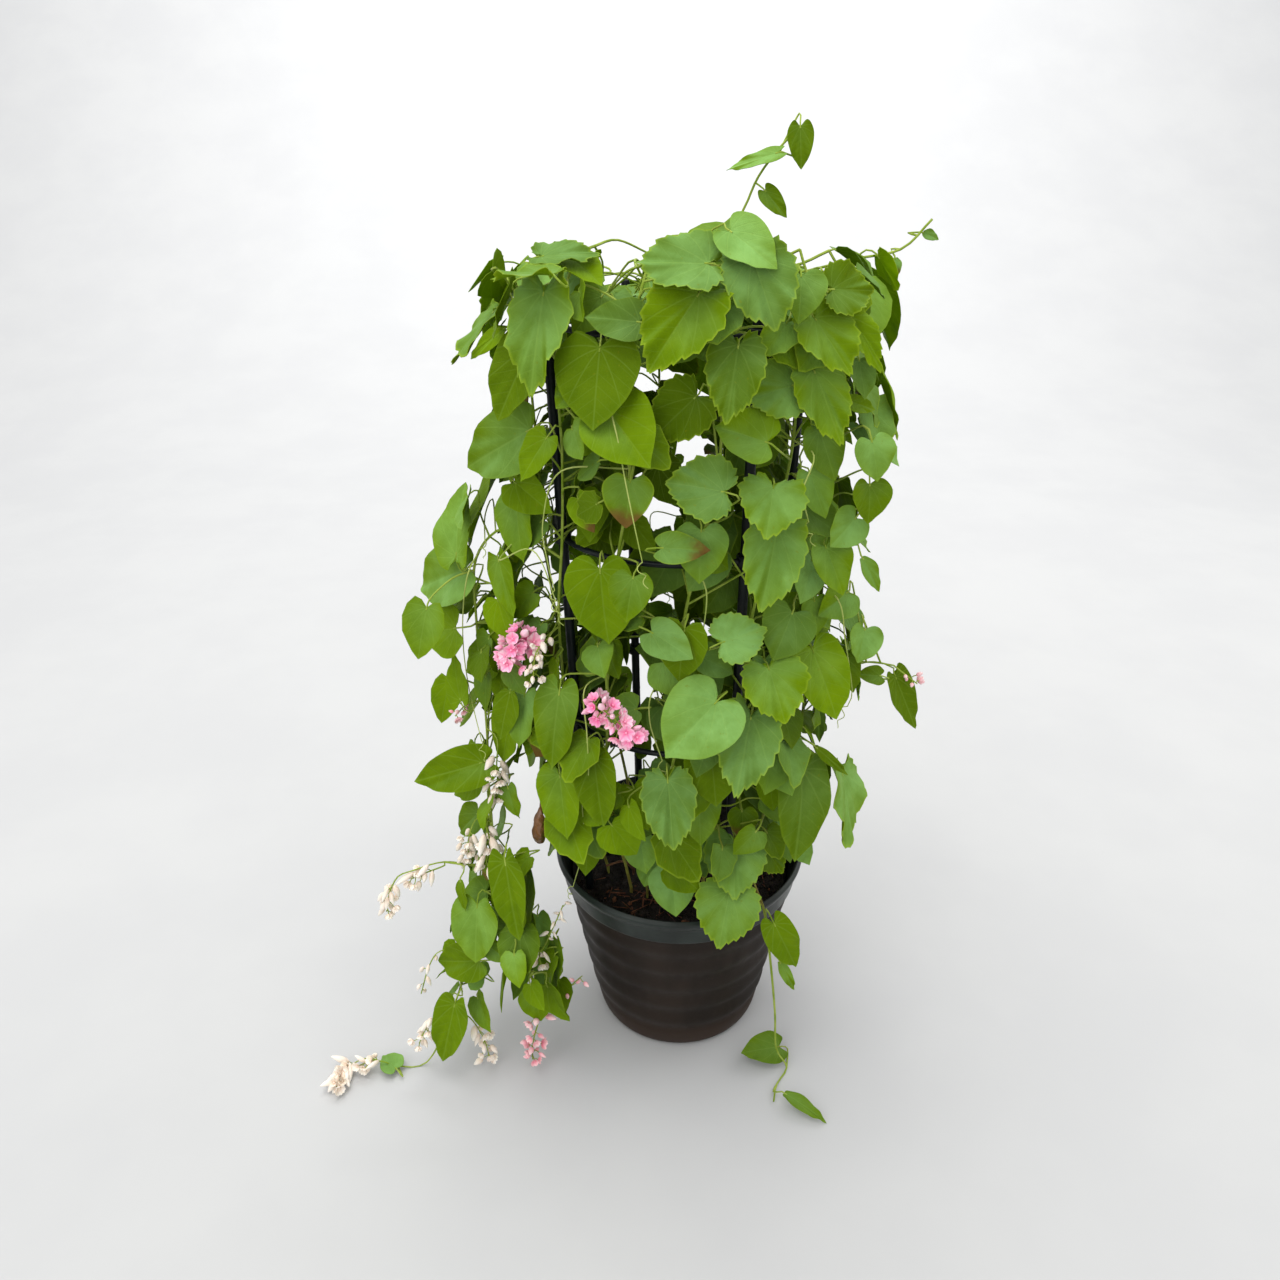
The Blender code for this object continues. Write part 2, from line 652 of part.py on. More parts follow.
vines = [left, front_left, front, front_right, right, back_right, back_a, back_b, back_left, side_left]
lower = [trail, sprout_a, sprout_b, sprout_c]

# leaves seen from the front: angle, height, reach, length, breadth (mm), swing, lean, kind
CROWN = [
    (229, 838, 170, 76, 46, 4, 35, "t"), (234, 842, 156, 56, 42, -95, 74, "t"), (221, 848, 138, 58, 38, 80, 70, "t"),
    (256, 820, 165, 42, 30, -97, 30, "s"), (271, 841, 170, 62, 52, -34, 30, "t"),
    (273, 861, 165, 50, 46, -93, 45, "t"), (282, 868, 150, 50, 20, -80, 60, "n"), (284, 863, 168, 50, 50, 18, 30, "t"),
    (279, 881, 150, 42, 38, 40, 40, "s"), (300, 849, 160, 36, 34, -11, 40, "s"),
    (308, 838, 170, 34, 38, 87, 30, "t"), (304, 818, 165, 48, 46, 26, 35, "t"), (314, 817, 180, 46, 24, 26, 30, "t"),
    (317, 784, 180, 30, 22, 0, 30, "n"), (305, 779, 165, 58, 42, 15, 30, "t"), (300, 771, 168, 38, 44, -84, 35, "t"),
    (281, 804, 170, 58, 40, -11, 35, "t"), (220, 795, 165, 64, 44, -21, 20, "s"), (209, 804, 170, 44, 14, -54, 20, "n"),
    (245, 800, 165, 60, 62, 1, 30, "s"),
]
MIDDLE = [
    (248, 757, 180, 52, 52, 36, 40, "s"), (241, 765, 170, 36, 38, -16, 30, "s"),
    (271, 763, 152, 44, 44, -47, 20, "t"), (290, 729, 170, 42, 44, -113, 40, "s"), (278, 694, 175, 44, 50, -104, 40, "t"),
    (217, 725, 165, 74, 54, -59, 15, "s"), (228, 726, 172, 40, 28, -27, 30, "s"), (204, 670, 165, 46, 36, 67, 25, "s"),
    (191, 591, 218, 68, 44, -164, 20, "s"), (190, 576, 205, 78, 58, -61, 20, "s"), (192, 518, 226, 54, 52, -69, 15, "s"),
    (191, 486, 194, 58, 42, -52, 15, "s"), (193, 440, 228, 46, 32, -150, 15, "s"), (196.5, 372, 213, 76, 44, -71, 20, "s", 1.0),
    (191, 338, 206, 50, 34, -45, 20, "s"), (199, 594, 182, 54, 27, 32, 20, "s"), (203, 652, 165, 54, 38, 15, 15, "s"),
    (253, 699, 165, 36, 38, -3, 25, "s"),
    (262, 648, 175, 38, 25, 90, 40, "s"), (254, 619, 170, 36, 34, -6, 30, "s"), (241, 614, 155, 66, 56, 6, 10, "s"),
    (227, 490, 170, 74, 40, -2, 20, "s"), (209, 465, 175, 54, 36, -2, 20, "s"), (196, 427, 178, 60, 38, -6, 20, "s"),
    (293, 692, 168, 44, 50, -17, 52, "t"), (294, 658, 172, 66, 48, -16, 30, "t"), (273, 658, 160, 42, 40, -2, 25, "s"),
    (259, 570, 170, 40, 32, 61, 40, "s"), (262, 535, 155, 38, 40, 43, 15, "s"),
    (279, 563, 175, 38, 42, 107, 45, "t"), (293, 532, 175, 48, 52, 11, 40, "t"), (303, 574, 165, 44, 46, -30, 30, "s"),
    (311, 532, 170, 64, 50, 12, 30, "s"), (326, 509, 178, 36, 24, 13, 20, "s"), (277, 512, 185, 62, 62, -44, 40, "s"),
    (287, 500, 178, 80, 62, 1, 35, "t"),
]
SIDE = [
    (316, 724, 200, 32, 34, 7, 20, "s"), (317, 687, 200, 31, 34, -5, 20, "s"), (317, 656, 190, 32, 33, -51, 20, "s"),
    (318, 621, 198, 34, 14, 26, 20, "n"), (322, 580, 180, 34, 34, -62, 20, "s"), (330, 536, 190, 31, 36, -22, 20, "s"),
    (334, 484, 206, 24, 18, -110, 40, "s"), (340, 474, 212, 58, 30, 16, 20, "s"), (312, 433, 180, 44, 10, 43, 20, "n"),
    (311, 632, 175, 44, 34, 17, 25, "s"), (306, 697, 165, 40, 30, 19, 15, "s"),
    (307, 732, 170, 42, 34, 18, 15, "s"), (315, 752, 180, 22, 14, 70, 30, "s"),
]
LOWER = [
    (277, 451, 165, 50, 46, 5, 30, "s"), (264, 428, 170, 60, 44, 15, 30, "t"), (274, 401, 155, 52, 36, 2, 25, "s"),
    (310, 407, 172, 84, 48, -13, 30, "s"), (225, 396, 170, 62, 42, 13, 20, "s"),
    (239, 427, 165, 64, 38, 10, 20, "s"), (201, 346, 192, 32, 23, 33, 20, "s"), (191, 295, 222, 44, 32, -37, 20, "s"),
]
POT_LEAVES = [
    (293, 358, 140, 26, 28, -5, 40, "s"), (306, 301, 136, 34, 34, 28, 35, "t"), (290, 325, 140, 54, 56, -7, 45, "t"),
    (285, 284, 164, 52, 58, -16, 45, "t"), (264, 280, 122, 44, 44, 8, 40, "s"), (247, 303, 112, 32, 35, 18, 40, "s"),
    (266, 327, 114, 42, 44, 14, 35, "s"), (252, 274, 104, 26, 26, -10, 50, "s"), (300, 238, 178, 62, 30, 23, 10, "s"),
    (303, 184, 180, 44, 11, 23, 10, "n"),
]
for name, rows, owners in (("crown", CROWN, vines), ("middle", MIDDLE, vines), ("side", SIDE, vines),
                           ("lower", LOWER, vines), ("pot", POT_LEAVES, lower)):
    for k, row in enumerate(rows):
        grow_leaf(owners, *row, label="%s %d" % (name, k))

# leaves of the hanging branch: base point, facing, lean, swing, length, breadth
HANGING = [
    ((-0.180, -0.120, 0.292), 250, 15, 12, 84, 36, "s"), ((-0.216, -0.104, 0.222), 245, 20, 4, 62, 52, "s"),
    ((-0.222, -0.120, 0.158), 245, 22, -70, 56, 42, "s"), ((-0.246, -0.130, 0.108), 250, 15, -10, 74, 38, "s"),
    ((-0.160, -0.122, 0.118), 262, 25, 12, 34, 34, "s"), ((-0.232, -0.098, 0.250), 240, 15, 12, 34, 12, "n"),
    ((-0.205, -0.118, 0.178), 260, 25, 60, 26, 20, "s"),
]
for k, (point, face, lean, swing, length, breadth, kind) in enumerate(HANGING):
    spot = Vector(point)
    angle = math.degrees(math.atan2(spot.y, spot.x)) % 360
    reach = math.hypot(spot.x, spot.y) * 1000
    grow_leaf([left], angle, spot.z * 1000, reach, length, breadth, swing, lean, kind,
              turn=(face - angle) / (265.0 - angle), label="hanging %d" % k)
# leaves that lie on the floor
grow_leaf([left], 201.5, 7, 338, 28, 24, -60, 78, "s", turn=0.01, label="floor left")
grow_leaf([trail], 316, 9, 168, 50, 40, -112, 80, "s", turn=0.01, label="floor right a")
grow_leaf([trail], 303, 8, 190, 52, 17, 8, 80, "n", turn=0.01, label="floor right b")
# leaves of the free shoots
grow_leaf([back_a], 40, 931, 121, 46, 15, -78, 50, "s", turn=1.0, label="shoot a")
grow_leaf([back_a], 36, 949, 130, 34, 22, 4, 15, "s", turn=1.0, label="shoot b")
grow_leaf([back_a], 46, 897, 110, 30, 17, 42, 20, "s", turn=1.0, label="shoot c")
grow_leaf([back_right], 0, 846, 182, 15, 9, 10, 30, "n", turn=1.0, label="shoot d")
grow_leaf([back_right], 0, 866, 196, 14, 9, 60, 30, "n", turn=1.0, label="shoot e")

# leaves behind, by rule
for vine, middle in ((back_right, 358), (back_a, 50), (back_b, 88), (back_left, 140), (side_left, 173)):
    for k in range(6):
        z = 352 + 99 * k + rng.uniform(-16, 16) - (24 if k == 5 else 0)
        lean = rng.uniform(14, 40) + (18 if k == 5 else 0)
        offset = (10 if k % 2 else -12) + rng.uniform(-4, 4) + (k - 3) * 3.2
        length = rng.uniform(54, 74)
        kind = "t" if rng.random() < 0.3 else "s"
        grow_leaf([vine], middle + offset, z, rng.uniform(156, 178), length, length * rng.uniform(0.76, 0.92),
                  rng.uniform(-32, 32), lean, kind, turn=0, label="behind %s %d" % (vine.name, k))

# flowers, old stems and a dry leaf
def floret_lists(root, centre, aim, size):
    """Open five-cornered floret with its own stalk down to root, as one shell."""
    side = aim.orthogonal().normalized()
    other = aim.cross(side)
    verts = []
    for k in range(5):
        a = math.radians(72.0 * k)
        verts.append(centre + (side * math.cos(a) + other * math.sin(a)) * size + aim * size * 0.25)
    neck = centre - aim * size * 0.6
    for spot in (neck, root):
        for k in range(3):
            a = math.radians(20.0 + 120.0 * k)
            verts.append(spot + (side * math.cos(a) + other * math.sin(a)) * 0.0007)
    verts.append(centre - aim * size * 0.12)
    faces = [(k, (k + 1) % 5, 11) for k in range(5)]
    owner = [5, 6, 6, 7, 7]
    for k in range(5):
        m = (k + 1) % 5
        faces.append((m, k, owner[k]))
        if owner[m] != owner[k]:
            faces.append((m, owner[k], owner[m]))
    for k in range(3):
        m = (k + 1) % 3
        faces.append((5 + k, 8 + k, 8 + m))
        faces.append((5 + k, 8 + m, 5 + m))
    faces.append((8, 10, 9))
    return verts, faces


def bud_lists(foot, aim, length, thick):
    """Four-sided pointed bud standing on foot."""
    side = aim.orthogonal().normalized()
    other = aim.cross(side)
    belly = foot + aim * length * 0.62
    verts = [foot - aim * 0.0004, foot + aim * length]
    for k in range(4):
        a = math.pi / 2 * k
        verts.append(belly + (side * math.cos(a) + other * math.sin(a)) * thick)
    faces = []
    for k in range(4):
        m = (k + 1) % 4
        faces.append((0, 2 + m, 2 + k))
        faces.append((1, 2 + k, 2 + m))
    return verts, faces


def nearest_stem(vine, target):
    best = None
    for number, path in enumerate(vine.paths):
        n = len(path)
        for i in range(1, n - 1):
            for t in (0.0, 0.25, 0.5, 0.75):
                p = path[i].lerp(path[i + 1], t)
                if any((p - q).length < 0.006 for q in vine.used + vine.forks):
                    continue
                d = (p - target).length
                if best is None or d < best[0]:
                    ring = vine.pieces[number][0][i * STEM_SIDES:(i + 2) * STEM_SIDES]
                    best = (d, p, (path[i + 1] - path[i]).normalized(), ring)
    return best[1:]


def seat(vine, target):
    """Two points that start a stalk square to the stem, 0.3 mm off its widest corner there."""
    p, along, ring = nearest_stem(vine, target)
    way = target - p
    way = (way - along * way.dot(along)).normalized()
    out = max((corner - p).dot(way) for corner in ring) + GAP
    return [p + way * out, p + way * (out + 0.003)]


BUNCH_MOVES = [(0, 0, 0), (0, 0, 0.008), (0, 0, -0.008), (-0.007, -0.006, 0), (0, -0.010, 0), (0.006, -0.010, 0.004),
               (-0.008, -0.012, -0.006), (0, -0.014, 0.014), (0.010, -0.014, -0.014), (-0.012, 0, 0.012)]


def bunch(name, vine, points, mat, count, size, pink, radius=0.0008):
    """A spray on its own thin stalk, seated 0.3 mm off the vine's stem."""
    for move in BUNCH_MOVES:
        moved = [Vector(p) + Vector(move) for p in points]
        start = seat(vine, moved[0])
        path = start[:1] + smooth_path(start[1:] + moved, 0.02)
        radii = [radius * (1.0 - 0.2 * i / (len(path) - 1)) for i in range(len(path))]
        if is_clear(*tube_lists(path, [r + 0.00015 for r in radii], 4)):
            break
    stalk = tube_lists(path, radii, 3)
    clear = is_clear(*tube_lists(path, [r + 0.00015 for r in radii], 4))
    pieces = []
    made = 0
    own = random.Random(name)
    turn = own.uniform(0.0, 6.28)
    for k in range(count * 3):
        if made == count:
            break
        t = 0.42 + 0.58 * ((made + 0.5) / count)
        at = t * (len(path) - 1)
        i = min(int(at), len(path) - 2)
        root = path[i].lerp(path[i + 1], at - i)
        along = (path[i + 1] - path[i]).normalized()
        turn += 2.4
        side = along.orthogonal().normalized()
        out = side * math.cos(turn) + along.cross(side) * math.sin(turn)
        out = (out + along * (0.25 if pink else 0.7) + Vector((0.0, -0.25, 0.1))).normalized()
        reach = size * (1.25 + 0.35 * (k % 3)) if pink else 0.0
        scale = own.uniform(0.85, 1.12)
        if pink:
            centre = root + out * reach
            lists = floret_lists(root, centre, out, size * scale)
            tested = lists[0][:8] + [lists[0][11]]
            cup = [tuple(8 if i == 11 else i for i in f) for f in lists[1] if not set(f) & {8, 9, 10}]
            free = is_clear(tested, cup)
            lists_kept = (tested, cup)
        else:
            centre = root
            lists = bud_lists(root, out, size * 2.1 * scale, size * 0.42 * scale)
            free = is_clear(*lists)
            lists_kept = lists
        if min(v.z for v in lists[0]) < 0.0012 or not free:
            continue
        pieces.append(lists)
        remember(*lists_kept, name)
        made += 1
    remember(*stalk, name)
    body = from_lists(name, *stalk, mat)
    boolean_with(body, [from_lists("bit", v, f, mat, spare) for v, f in pieces], "UNION", "MANIFOLD")
    print(name, made, "of", count, "" if clear else "stalk meets another piece")


bunch("blossom_left", left, [cyl(211, 0.160, 0.515), cyl(212, 0.184, 0.530), cyl(215, 0.197, 0.512)],
      pink_mat, 11, 0.0072, True)
bunch("blossom_front", front_left, [cyl(239, 0.164, 0.486), cyl(247, 0.186, 0.496), cyl(256, 0.192, 0.478)],
      pink_mat, 10, 0.0068, True)
bunch("buds_white", left, [cyl(216, 0.155, 0.53), cyl(220, 0.178, 0.525), cyl(222, 0.188, 0.500)],
      cream_mat, 5, 0.0050, False)
bunch("buds_far_left", left, [cyl(191, 0.222, 0.430), cyl(192, 0.235, 0.420)], pink_mat, 3, 0.0042, False)
bunch("buds_right", right, [cyl(340, 0.226, 0.470), cyl(340, 0.238, 0.462)], pink_mat, 3, 0.0038, False)
bunch("spray_upper", left, [cyl(196, 0.196, 0.395), cyl(198, 0.200, 0.365), cyl(199, 0.200, 0.325)],
      cream_mat, 6, 0.0062, False)
bunch("spray_middle", left, [cyl(195, 0.226, 0.290), cyl(197, 0.236, 0.272), cyl(198, 0.238, 0.245)],
      cream_mat, 5, 0.0060, False)
bunch("spray_outer", left, [Vector((-0.296, -0.100, 0.258)), Vector((-0.306, -0.102, 0.240)),
                            Vector((-0.312, -0.104, 0.215))], cream_mat, 5, 0.0062, False)
bunch("spray_low", left, [Vector((-0.268, -0.112, 0.075)), Vector((-0.280, -0.120, 0.068)),
                          Vector((-0.292, -0.126, 0.045))], cream_mat, 5, 0.0055, False)
bunch("spray_floor", left, [Vector((-0.362, -0.112, 0.0060)), Vector((-0.378, -0.126, 0.0065)),
                            Vector((-0.384, -0.150, 0.0065))], cream_mat, 6, 0.0060, False)
bunch("blossom_floor", left, [Vector((-0.160, -0.114, 0.062)), Vector((-0.166, -0.120, 0.040)),
                              Vector((-0.168, -0.124, 0.016))], pink_mat, 5, 0.0052, True)


def twig(name, points, thick, mat=twig_mat, fork=None):
    foot = points[0].copy()
    foot.z = SOIL_TOP - 0.022
    lift = points[0].copy()
    lift.z = SOIL_TOP + 0.006
    path = [foot] + smooth_path([lift] + points[1:], 0.03)
    hole(foot.x, foot.y, thick, foot.z, 5)
    n = len(path)
    lists = tube_lists(path, [thick * (1.0 - 0.4 * i / (n - 1)) for i in range(n)], 5)
    body = from_lists(name, *lists, mat)
    remember(*lists, name)
    if fork:
        side = tube_lists(smooth_path([path[n // 2]] + fork, 0.03), [thick * 0.6] * (len(fork) + 1), 4)
        boolean_with(body, [from_lists("fork", *side, mat, spare)], "UNION", "MANIFOLD")
        remember(*side, name)


twig("old_stem_right", [cyl(301, 0.092, SOIL_TOP), cyl(302, 0.096, 0.262), cyl(300, 0.099, 0.318),
                        cyl(303, 0.101, 0.372)], 0.0024)
twig("old_stem_front", [cyl(272, 0.040, SOIL_TOP), cyl(268, 0.046, 0.228), cyl(262, 0.044, 0.262)], 0.0019,
     fork=[cyl(280, 0.052, 0.243)])
twig("old_stem_left", [cyl(206, 0.058, SOIL_TOP), cyl(209, 0.072, 0.222), cyl(213, 0.097, 0.231)], 0.0017)
twig("old_stem_back", [cyl(18, 0.066, SOIL_TOP), cyl(14, 0.062, 0.240), cyl(5, 0.064, 0.276)], 0.0020)

# a withered leaf, rolled up, hanging from the left vine
path = seat(left, cyl(206, 0.156, 0.362))
path += [cyl(208, 0.160, 0.345), cyl(210, 0.167, 0.332), cyl(211, 0.171, 0.319), cyl(210.5, 0.172, 0.302)]
path.append(cyl(209, 0.169, 0.288))
withered = tube_lists(path, [0.0008, 0.0008, 0.0008, 0.0016, 0.0048, 0.0056, 0.0022], 6)
print("withered leaf clear:", is_clear(*withered))
from_lists("withered_leaf", *withered, twig_mat)

for vine in vines + lower:
    verts, faces = vine.pieces[0]
    body = from_lists(vine.name, verts, faces, leaf_mat)
    others = [from_lists("leafy", v, f, leaf_mat, spare) for v, f in vine.pieces[1:]]
    if others:
        boolean_with(body, others, "UNION", "MANIFOLD")

boolean_with(soil, holes, "DIFFERENCE")
total = 0
for ob in part.objects:
    ob.data.calc_loop_triangles()
    total += len(ob.data.loop_triangles)
    print(ob.name, len(ob.data.loop_triangles))
print("triangles", total, "leaves", leaf_count, "missed", missed)
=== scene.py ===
# Potted coral vine on a ring trellis: fine leaves, flowers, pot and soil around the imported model.
import math
import random
import bmesh
import bpy
from mathutils import Matrix, Vector, noise
from mathutils.bvhtree import BVHTree
from mathutils.kdtree import KDTree


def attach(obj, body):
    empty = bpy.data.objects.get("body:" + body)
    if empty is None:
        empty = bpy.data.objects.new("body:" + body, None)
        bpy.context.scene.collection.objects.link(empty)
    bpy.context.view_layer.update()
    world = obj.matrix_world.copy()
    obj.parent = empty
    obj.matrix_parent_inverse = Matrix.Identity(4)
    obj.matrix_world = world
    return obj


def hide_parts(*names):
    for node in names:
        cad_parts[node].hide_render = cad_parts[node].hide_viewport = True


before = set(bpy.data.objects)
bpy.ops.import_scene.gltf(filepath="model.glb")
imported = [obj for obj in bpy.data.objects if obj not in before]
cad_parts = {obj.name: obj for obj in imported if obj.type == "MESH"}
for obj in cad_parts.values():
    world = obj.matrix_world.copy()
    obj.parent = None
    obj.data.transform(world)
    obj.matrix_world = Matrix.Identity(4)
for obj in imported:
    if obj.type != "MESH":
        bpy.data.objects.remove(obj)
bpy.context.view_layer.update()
scene = bpy.context.scene
scene.view_settings.view_transform = "Standard"


def addObject(name, data):
    made = bpy.data.objects.new(name, data)
    scene.collection.objects.link(made)
    return made


# camera and lights; picture is the photo's width and height in pixels
view = {"focal": 28.125, "sensor": 36.0, "picture": 1280, "place": (-0.0420, -0.9199, 0.9392), "tip": 63.45,
        "roll": -0.617}
cameraData = bpy.data.cameras.new("camera")
cameraData.sensor_width = view["sensor"]
cameraData.lens = view["focal"]
camera = addObject("camera", cameraData)
camera.matrix_world = (Matrix.Translation(view["place"]) @ Matrix.Rotation(math.radians(view["tip"]), 4, "X")
                       @ Matrix.Rotation(math.radians(view["roll"]), 4, "Z"))
scene.camera = camera

plantMiddle = (0.0, 0.0, 0.45)
lights = [
    {"name": "skyPanel", "place": (-0.4, -0.3, 3.0), "size": 2.2, "power": 46.0, "tint": (1.0, 0.99, 0.96)},
    {"name": "frontPanel", "place": (-1.6, -2.3, 1.9), "size": 1.6, "power": 14.0, "tint": (0.98, 0.99, 1.0)},
    {"name": "sidePanel", "place": (2.1, 0.8, 1.8), "size": 1.4, "power": 10.0, "tint": (1.0, 0.99, 0.96)},
    {"name": "wallPanel", "place": (0.0, 2.6, 5.0), "size": 3.0, "power": 260.0, "tint": (1.0, 1.0, 1.0),
     "aim": (0.0, 6.0, 2.2)},
]
for lamp in lights:
    data = bpy.data.lights.new(lamp["name"], "AREA")
    data.size = lamp["size"]
    data.energy = lamp["power"]
    data.color = lamp["tint"]
    aim = Vector(lamp.get("aim", plantMiddle)) - Vector(lamp["place"])
    addObject(lamp["name"], data).matrix_world = (Matrix.Translation(lamp["place"])
                                                  @ aim.to_track_quat("-Z", "Y").to_matrix().to_4x4())
room = {"colour": (1.0, 1.0, 0.98, 1.0), "strength": 0.9}
world = bpy.data.worlds.new("paleRoom")
scene.world = world
world.use_nodes = True
world.node_tree.nodes["Background"].inputs["Color"].default_value = room["colour"]
world.node_tree.nodes["Background"].inputs["Strength"].default_value = room["strength"]
print("camera and lights")


# shader helpers
def feed(tree, socket, item):
    if isinstance(item, bpy.types.NodeSocket):
        tree.links.new(item, socket)
    else:
        socket.default_value = item


def addNode(tree, kind, inputs=None, **settings):
    made = tree.nodes.new("ShaderNode" + kind)
    for key, value in settings.items():
        setattr(made, key, value)
    for key, value in (inputs or {}).items():
        feed(tree, made.inputs[key], value)
    return made


def calc(tree, operation, *values):
    return addNode(tree, "Math", dict(enumerate(values)), operation=operation).outputs[0]


def times(tree, first, second):
    return calc(tree, "MULTIPLY", first, second)


def split(tree, vector):
    return list(addNode(tree, "SeparateXYZ", {0: vector}).outputs)


def span(tree, x, y):
    return calc(tree, "SQRT", calc(tree, "ADD", times(tree, x, x), times(tree, y, y)))


# smooth step of a value from low to high
def fade(tree, value, low, high, start=0.0, end=1.0):
    ends = {"Value": value, "From Min": low, "From Max": high, "To Min": start, "To Max": end}
    return addNode(tree, "MapRange", ends, interpolation_type="SMOOTHSTEP").outputs["Result"]


def blend(tree, factor, first, second):
    first, second = [(*item, 1.0) if isinstance(item, tuple) else item for item in (first, second)]
    return addNode(tree, "Mix", {0: factor, 6: first, 7: second}, data_type="RGBA").outputs[2]


def newGroup(name, inputs, outputs):
    group = bpy.data.node_groups.new(name, "ShaderNodeTree")
    for way, sockets in (("INPUT", inputs), ("OUTPUT", outputs)):
        for socket, kind in sockets:
            group.interface.new_socket(name=socket, in_out=way, socket_type="NodeSocket" + kind)
    return group, group.nodes.new("NodeGroupInput"), group.nodes.new("NodeGroupOutput")


def useGroup(tree, group, inputs):
    made = tree.nodes.new("ShaderNodeGroup")
    made.node_tree = group
    for key, value in inputs.items():
        feed(tree, made.inputs[key], value)
    return made.outputs


def newMaterial(name, roughness, specular=0.5):
    made = bpy.data.materials.new(name)
    made.use_nodes = True
    shader = made.node_tree.nodes["Principled BSDF"]
    shader.inputs["Roughness"].default_value = roughness
    shader.inputs["Specular IOR Level"].default_value = specular
    return made, made.node_tree, shader


def readAttribute(tree, name):
    return addNode(tree, "Attribute", attribute_name=name).outputs["Vector"]


def addBump(tree, shader, height, strength, distance):
    bump = addNode(tree, "Bump", {"Height": height, "Strength": strength, "Distance": distance})
    tree.links.new(bump.outputs["Normal"], shader.inputs["Normal"])


# speckle: soft cloudy mask and a fine grain, used by every finish
speckle, start, end = newGroup("speckle", [("Vector", "Vector"), ("Scale", "Float"), ("Grain", "Float")],
                               [("Cloud", "Float"), ("Fine", "Float")])
cloud = addNode(speckle, "TexNoise", {"Vector": start.outputs["Vector"], "Scale": start.outputs["Scale"],
                                      "Detail": 4.0, "Roughness": 0.6})
fine = addNode(speckle, "TexNoise", {"Vector": start.outputs["Vector"], "Scale": start.outputs["Grain"],
                                     "Detail": 2.0, "Roughness": 0.5})
speckle.links.new(fade(speckle, cloud.outputs["Fac"], 0.32, 0.68), end.inputs["Cloud"])
speckle.links.new(fine.outputs["Fac"], end.inputs["Fine"])

# veins: main veins fan out from the stalk, side veins leave the midrib, a fine net lies between them
# each width is where the vein's full colour ends and where the vein ends, as a share of the leaf's length
veinLook = {"bow": (0.88, 0.35), "main": (0.004, 0.013), "mainFades": (0.45, 1.0), "midrib": (0.006, 0.017),
            "slant": 0.8, "side": (0.002, 0.009), "sideStarts": (0.12, 0.3), "net": 22.0, "netWidth": 0.08,
            "sidePuff": 6.0, "netPuff": 0.35, "sink": 0.8}
veins, start, end = newGroup("veins", [("Spot", "Vector"), ("Fan", "Float"), ("Pitch", "Float")],
                             [("Vein", "Float"), ("Height", "Float")])


# distance to the nearest of a row of lines that are one pitch apart
def lineGap(value, pitch):
    return times(veins, calc(veins, "PINGPONG", calc(veins, "DIVIDE", value, pitch), 0.5), pitch)


along, across = split(veins, start.outputs["Spot"])[:2]
reach = span(veins, along, across)
angle = calc(veins, "ARCTAN2", across, along)
bow, moreBow = veinLook["bow"]
curved = times(veins, angle, calc(veins, "ADD", bow, times(veins, reach, moreBow)))
fanGap = times(veins, lineGap(curved, start.outputs["Fan"]), reach)
mainVein = fade(veins, fanGap, *veinLook["main"], 1.0, 0.0)
mainVein = times(veins, mainVein, fade(veins, reach, *veinLook["mainFades"], 1.0, 0.25))
midrib = fade(veins, calc(veins, "ABSOLUTE", across), *veinLook["midrib"], 1.0, 0.0)
slant = calc(veins, "SUBTRACT", along, times(veins, calc(veins, "ABSOLUTE", across), veinLook["slant"]))
sideGap = lineGap(slant, start.outputs["Pitch"])
sideVein = times(veins, fade(veins, sideGap, *veinLook["side"], 0.7, 0.0),
                 fade(veins, along, *veinLook["sideStarts"]))
net = addNode(veins, "TexVoronoi", {"Vector": start.outputs["Spot"], "Scale": veinLook["net"]},
              feature="DISTANCE_TO_EDGE").outputs["Distance"]
netVein = fade(veins, net, 0.0, veinLook["netWidth"], 0.32, 0.0)
allVeins = calc(veins, "MAXIMUM", calc(veins, "MAXIMUM", mainVein, midrib),
                calc(veins, "MAXIMUM", sideVein, netVein))
veins.links.new(allVeins, end.inputs["Vein"])
puff = calc(veins, "ADD", times(veins, sideGap, veinLook["sidePuff"]), times(veins, net, veinLook["netPuff"]))
veins.links.new(calc(veins, "SUBTRACT", puff, times(veins, allVeins, veinLook["sink"])), end.inputs["Height"])
print("shader groups")


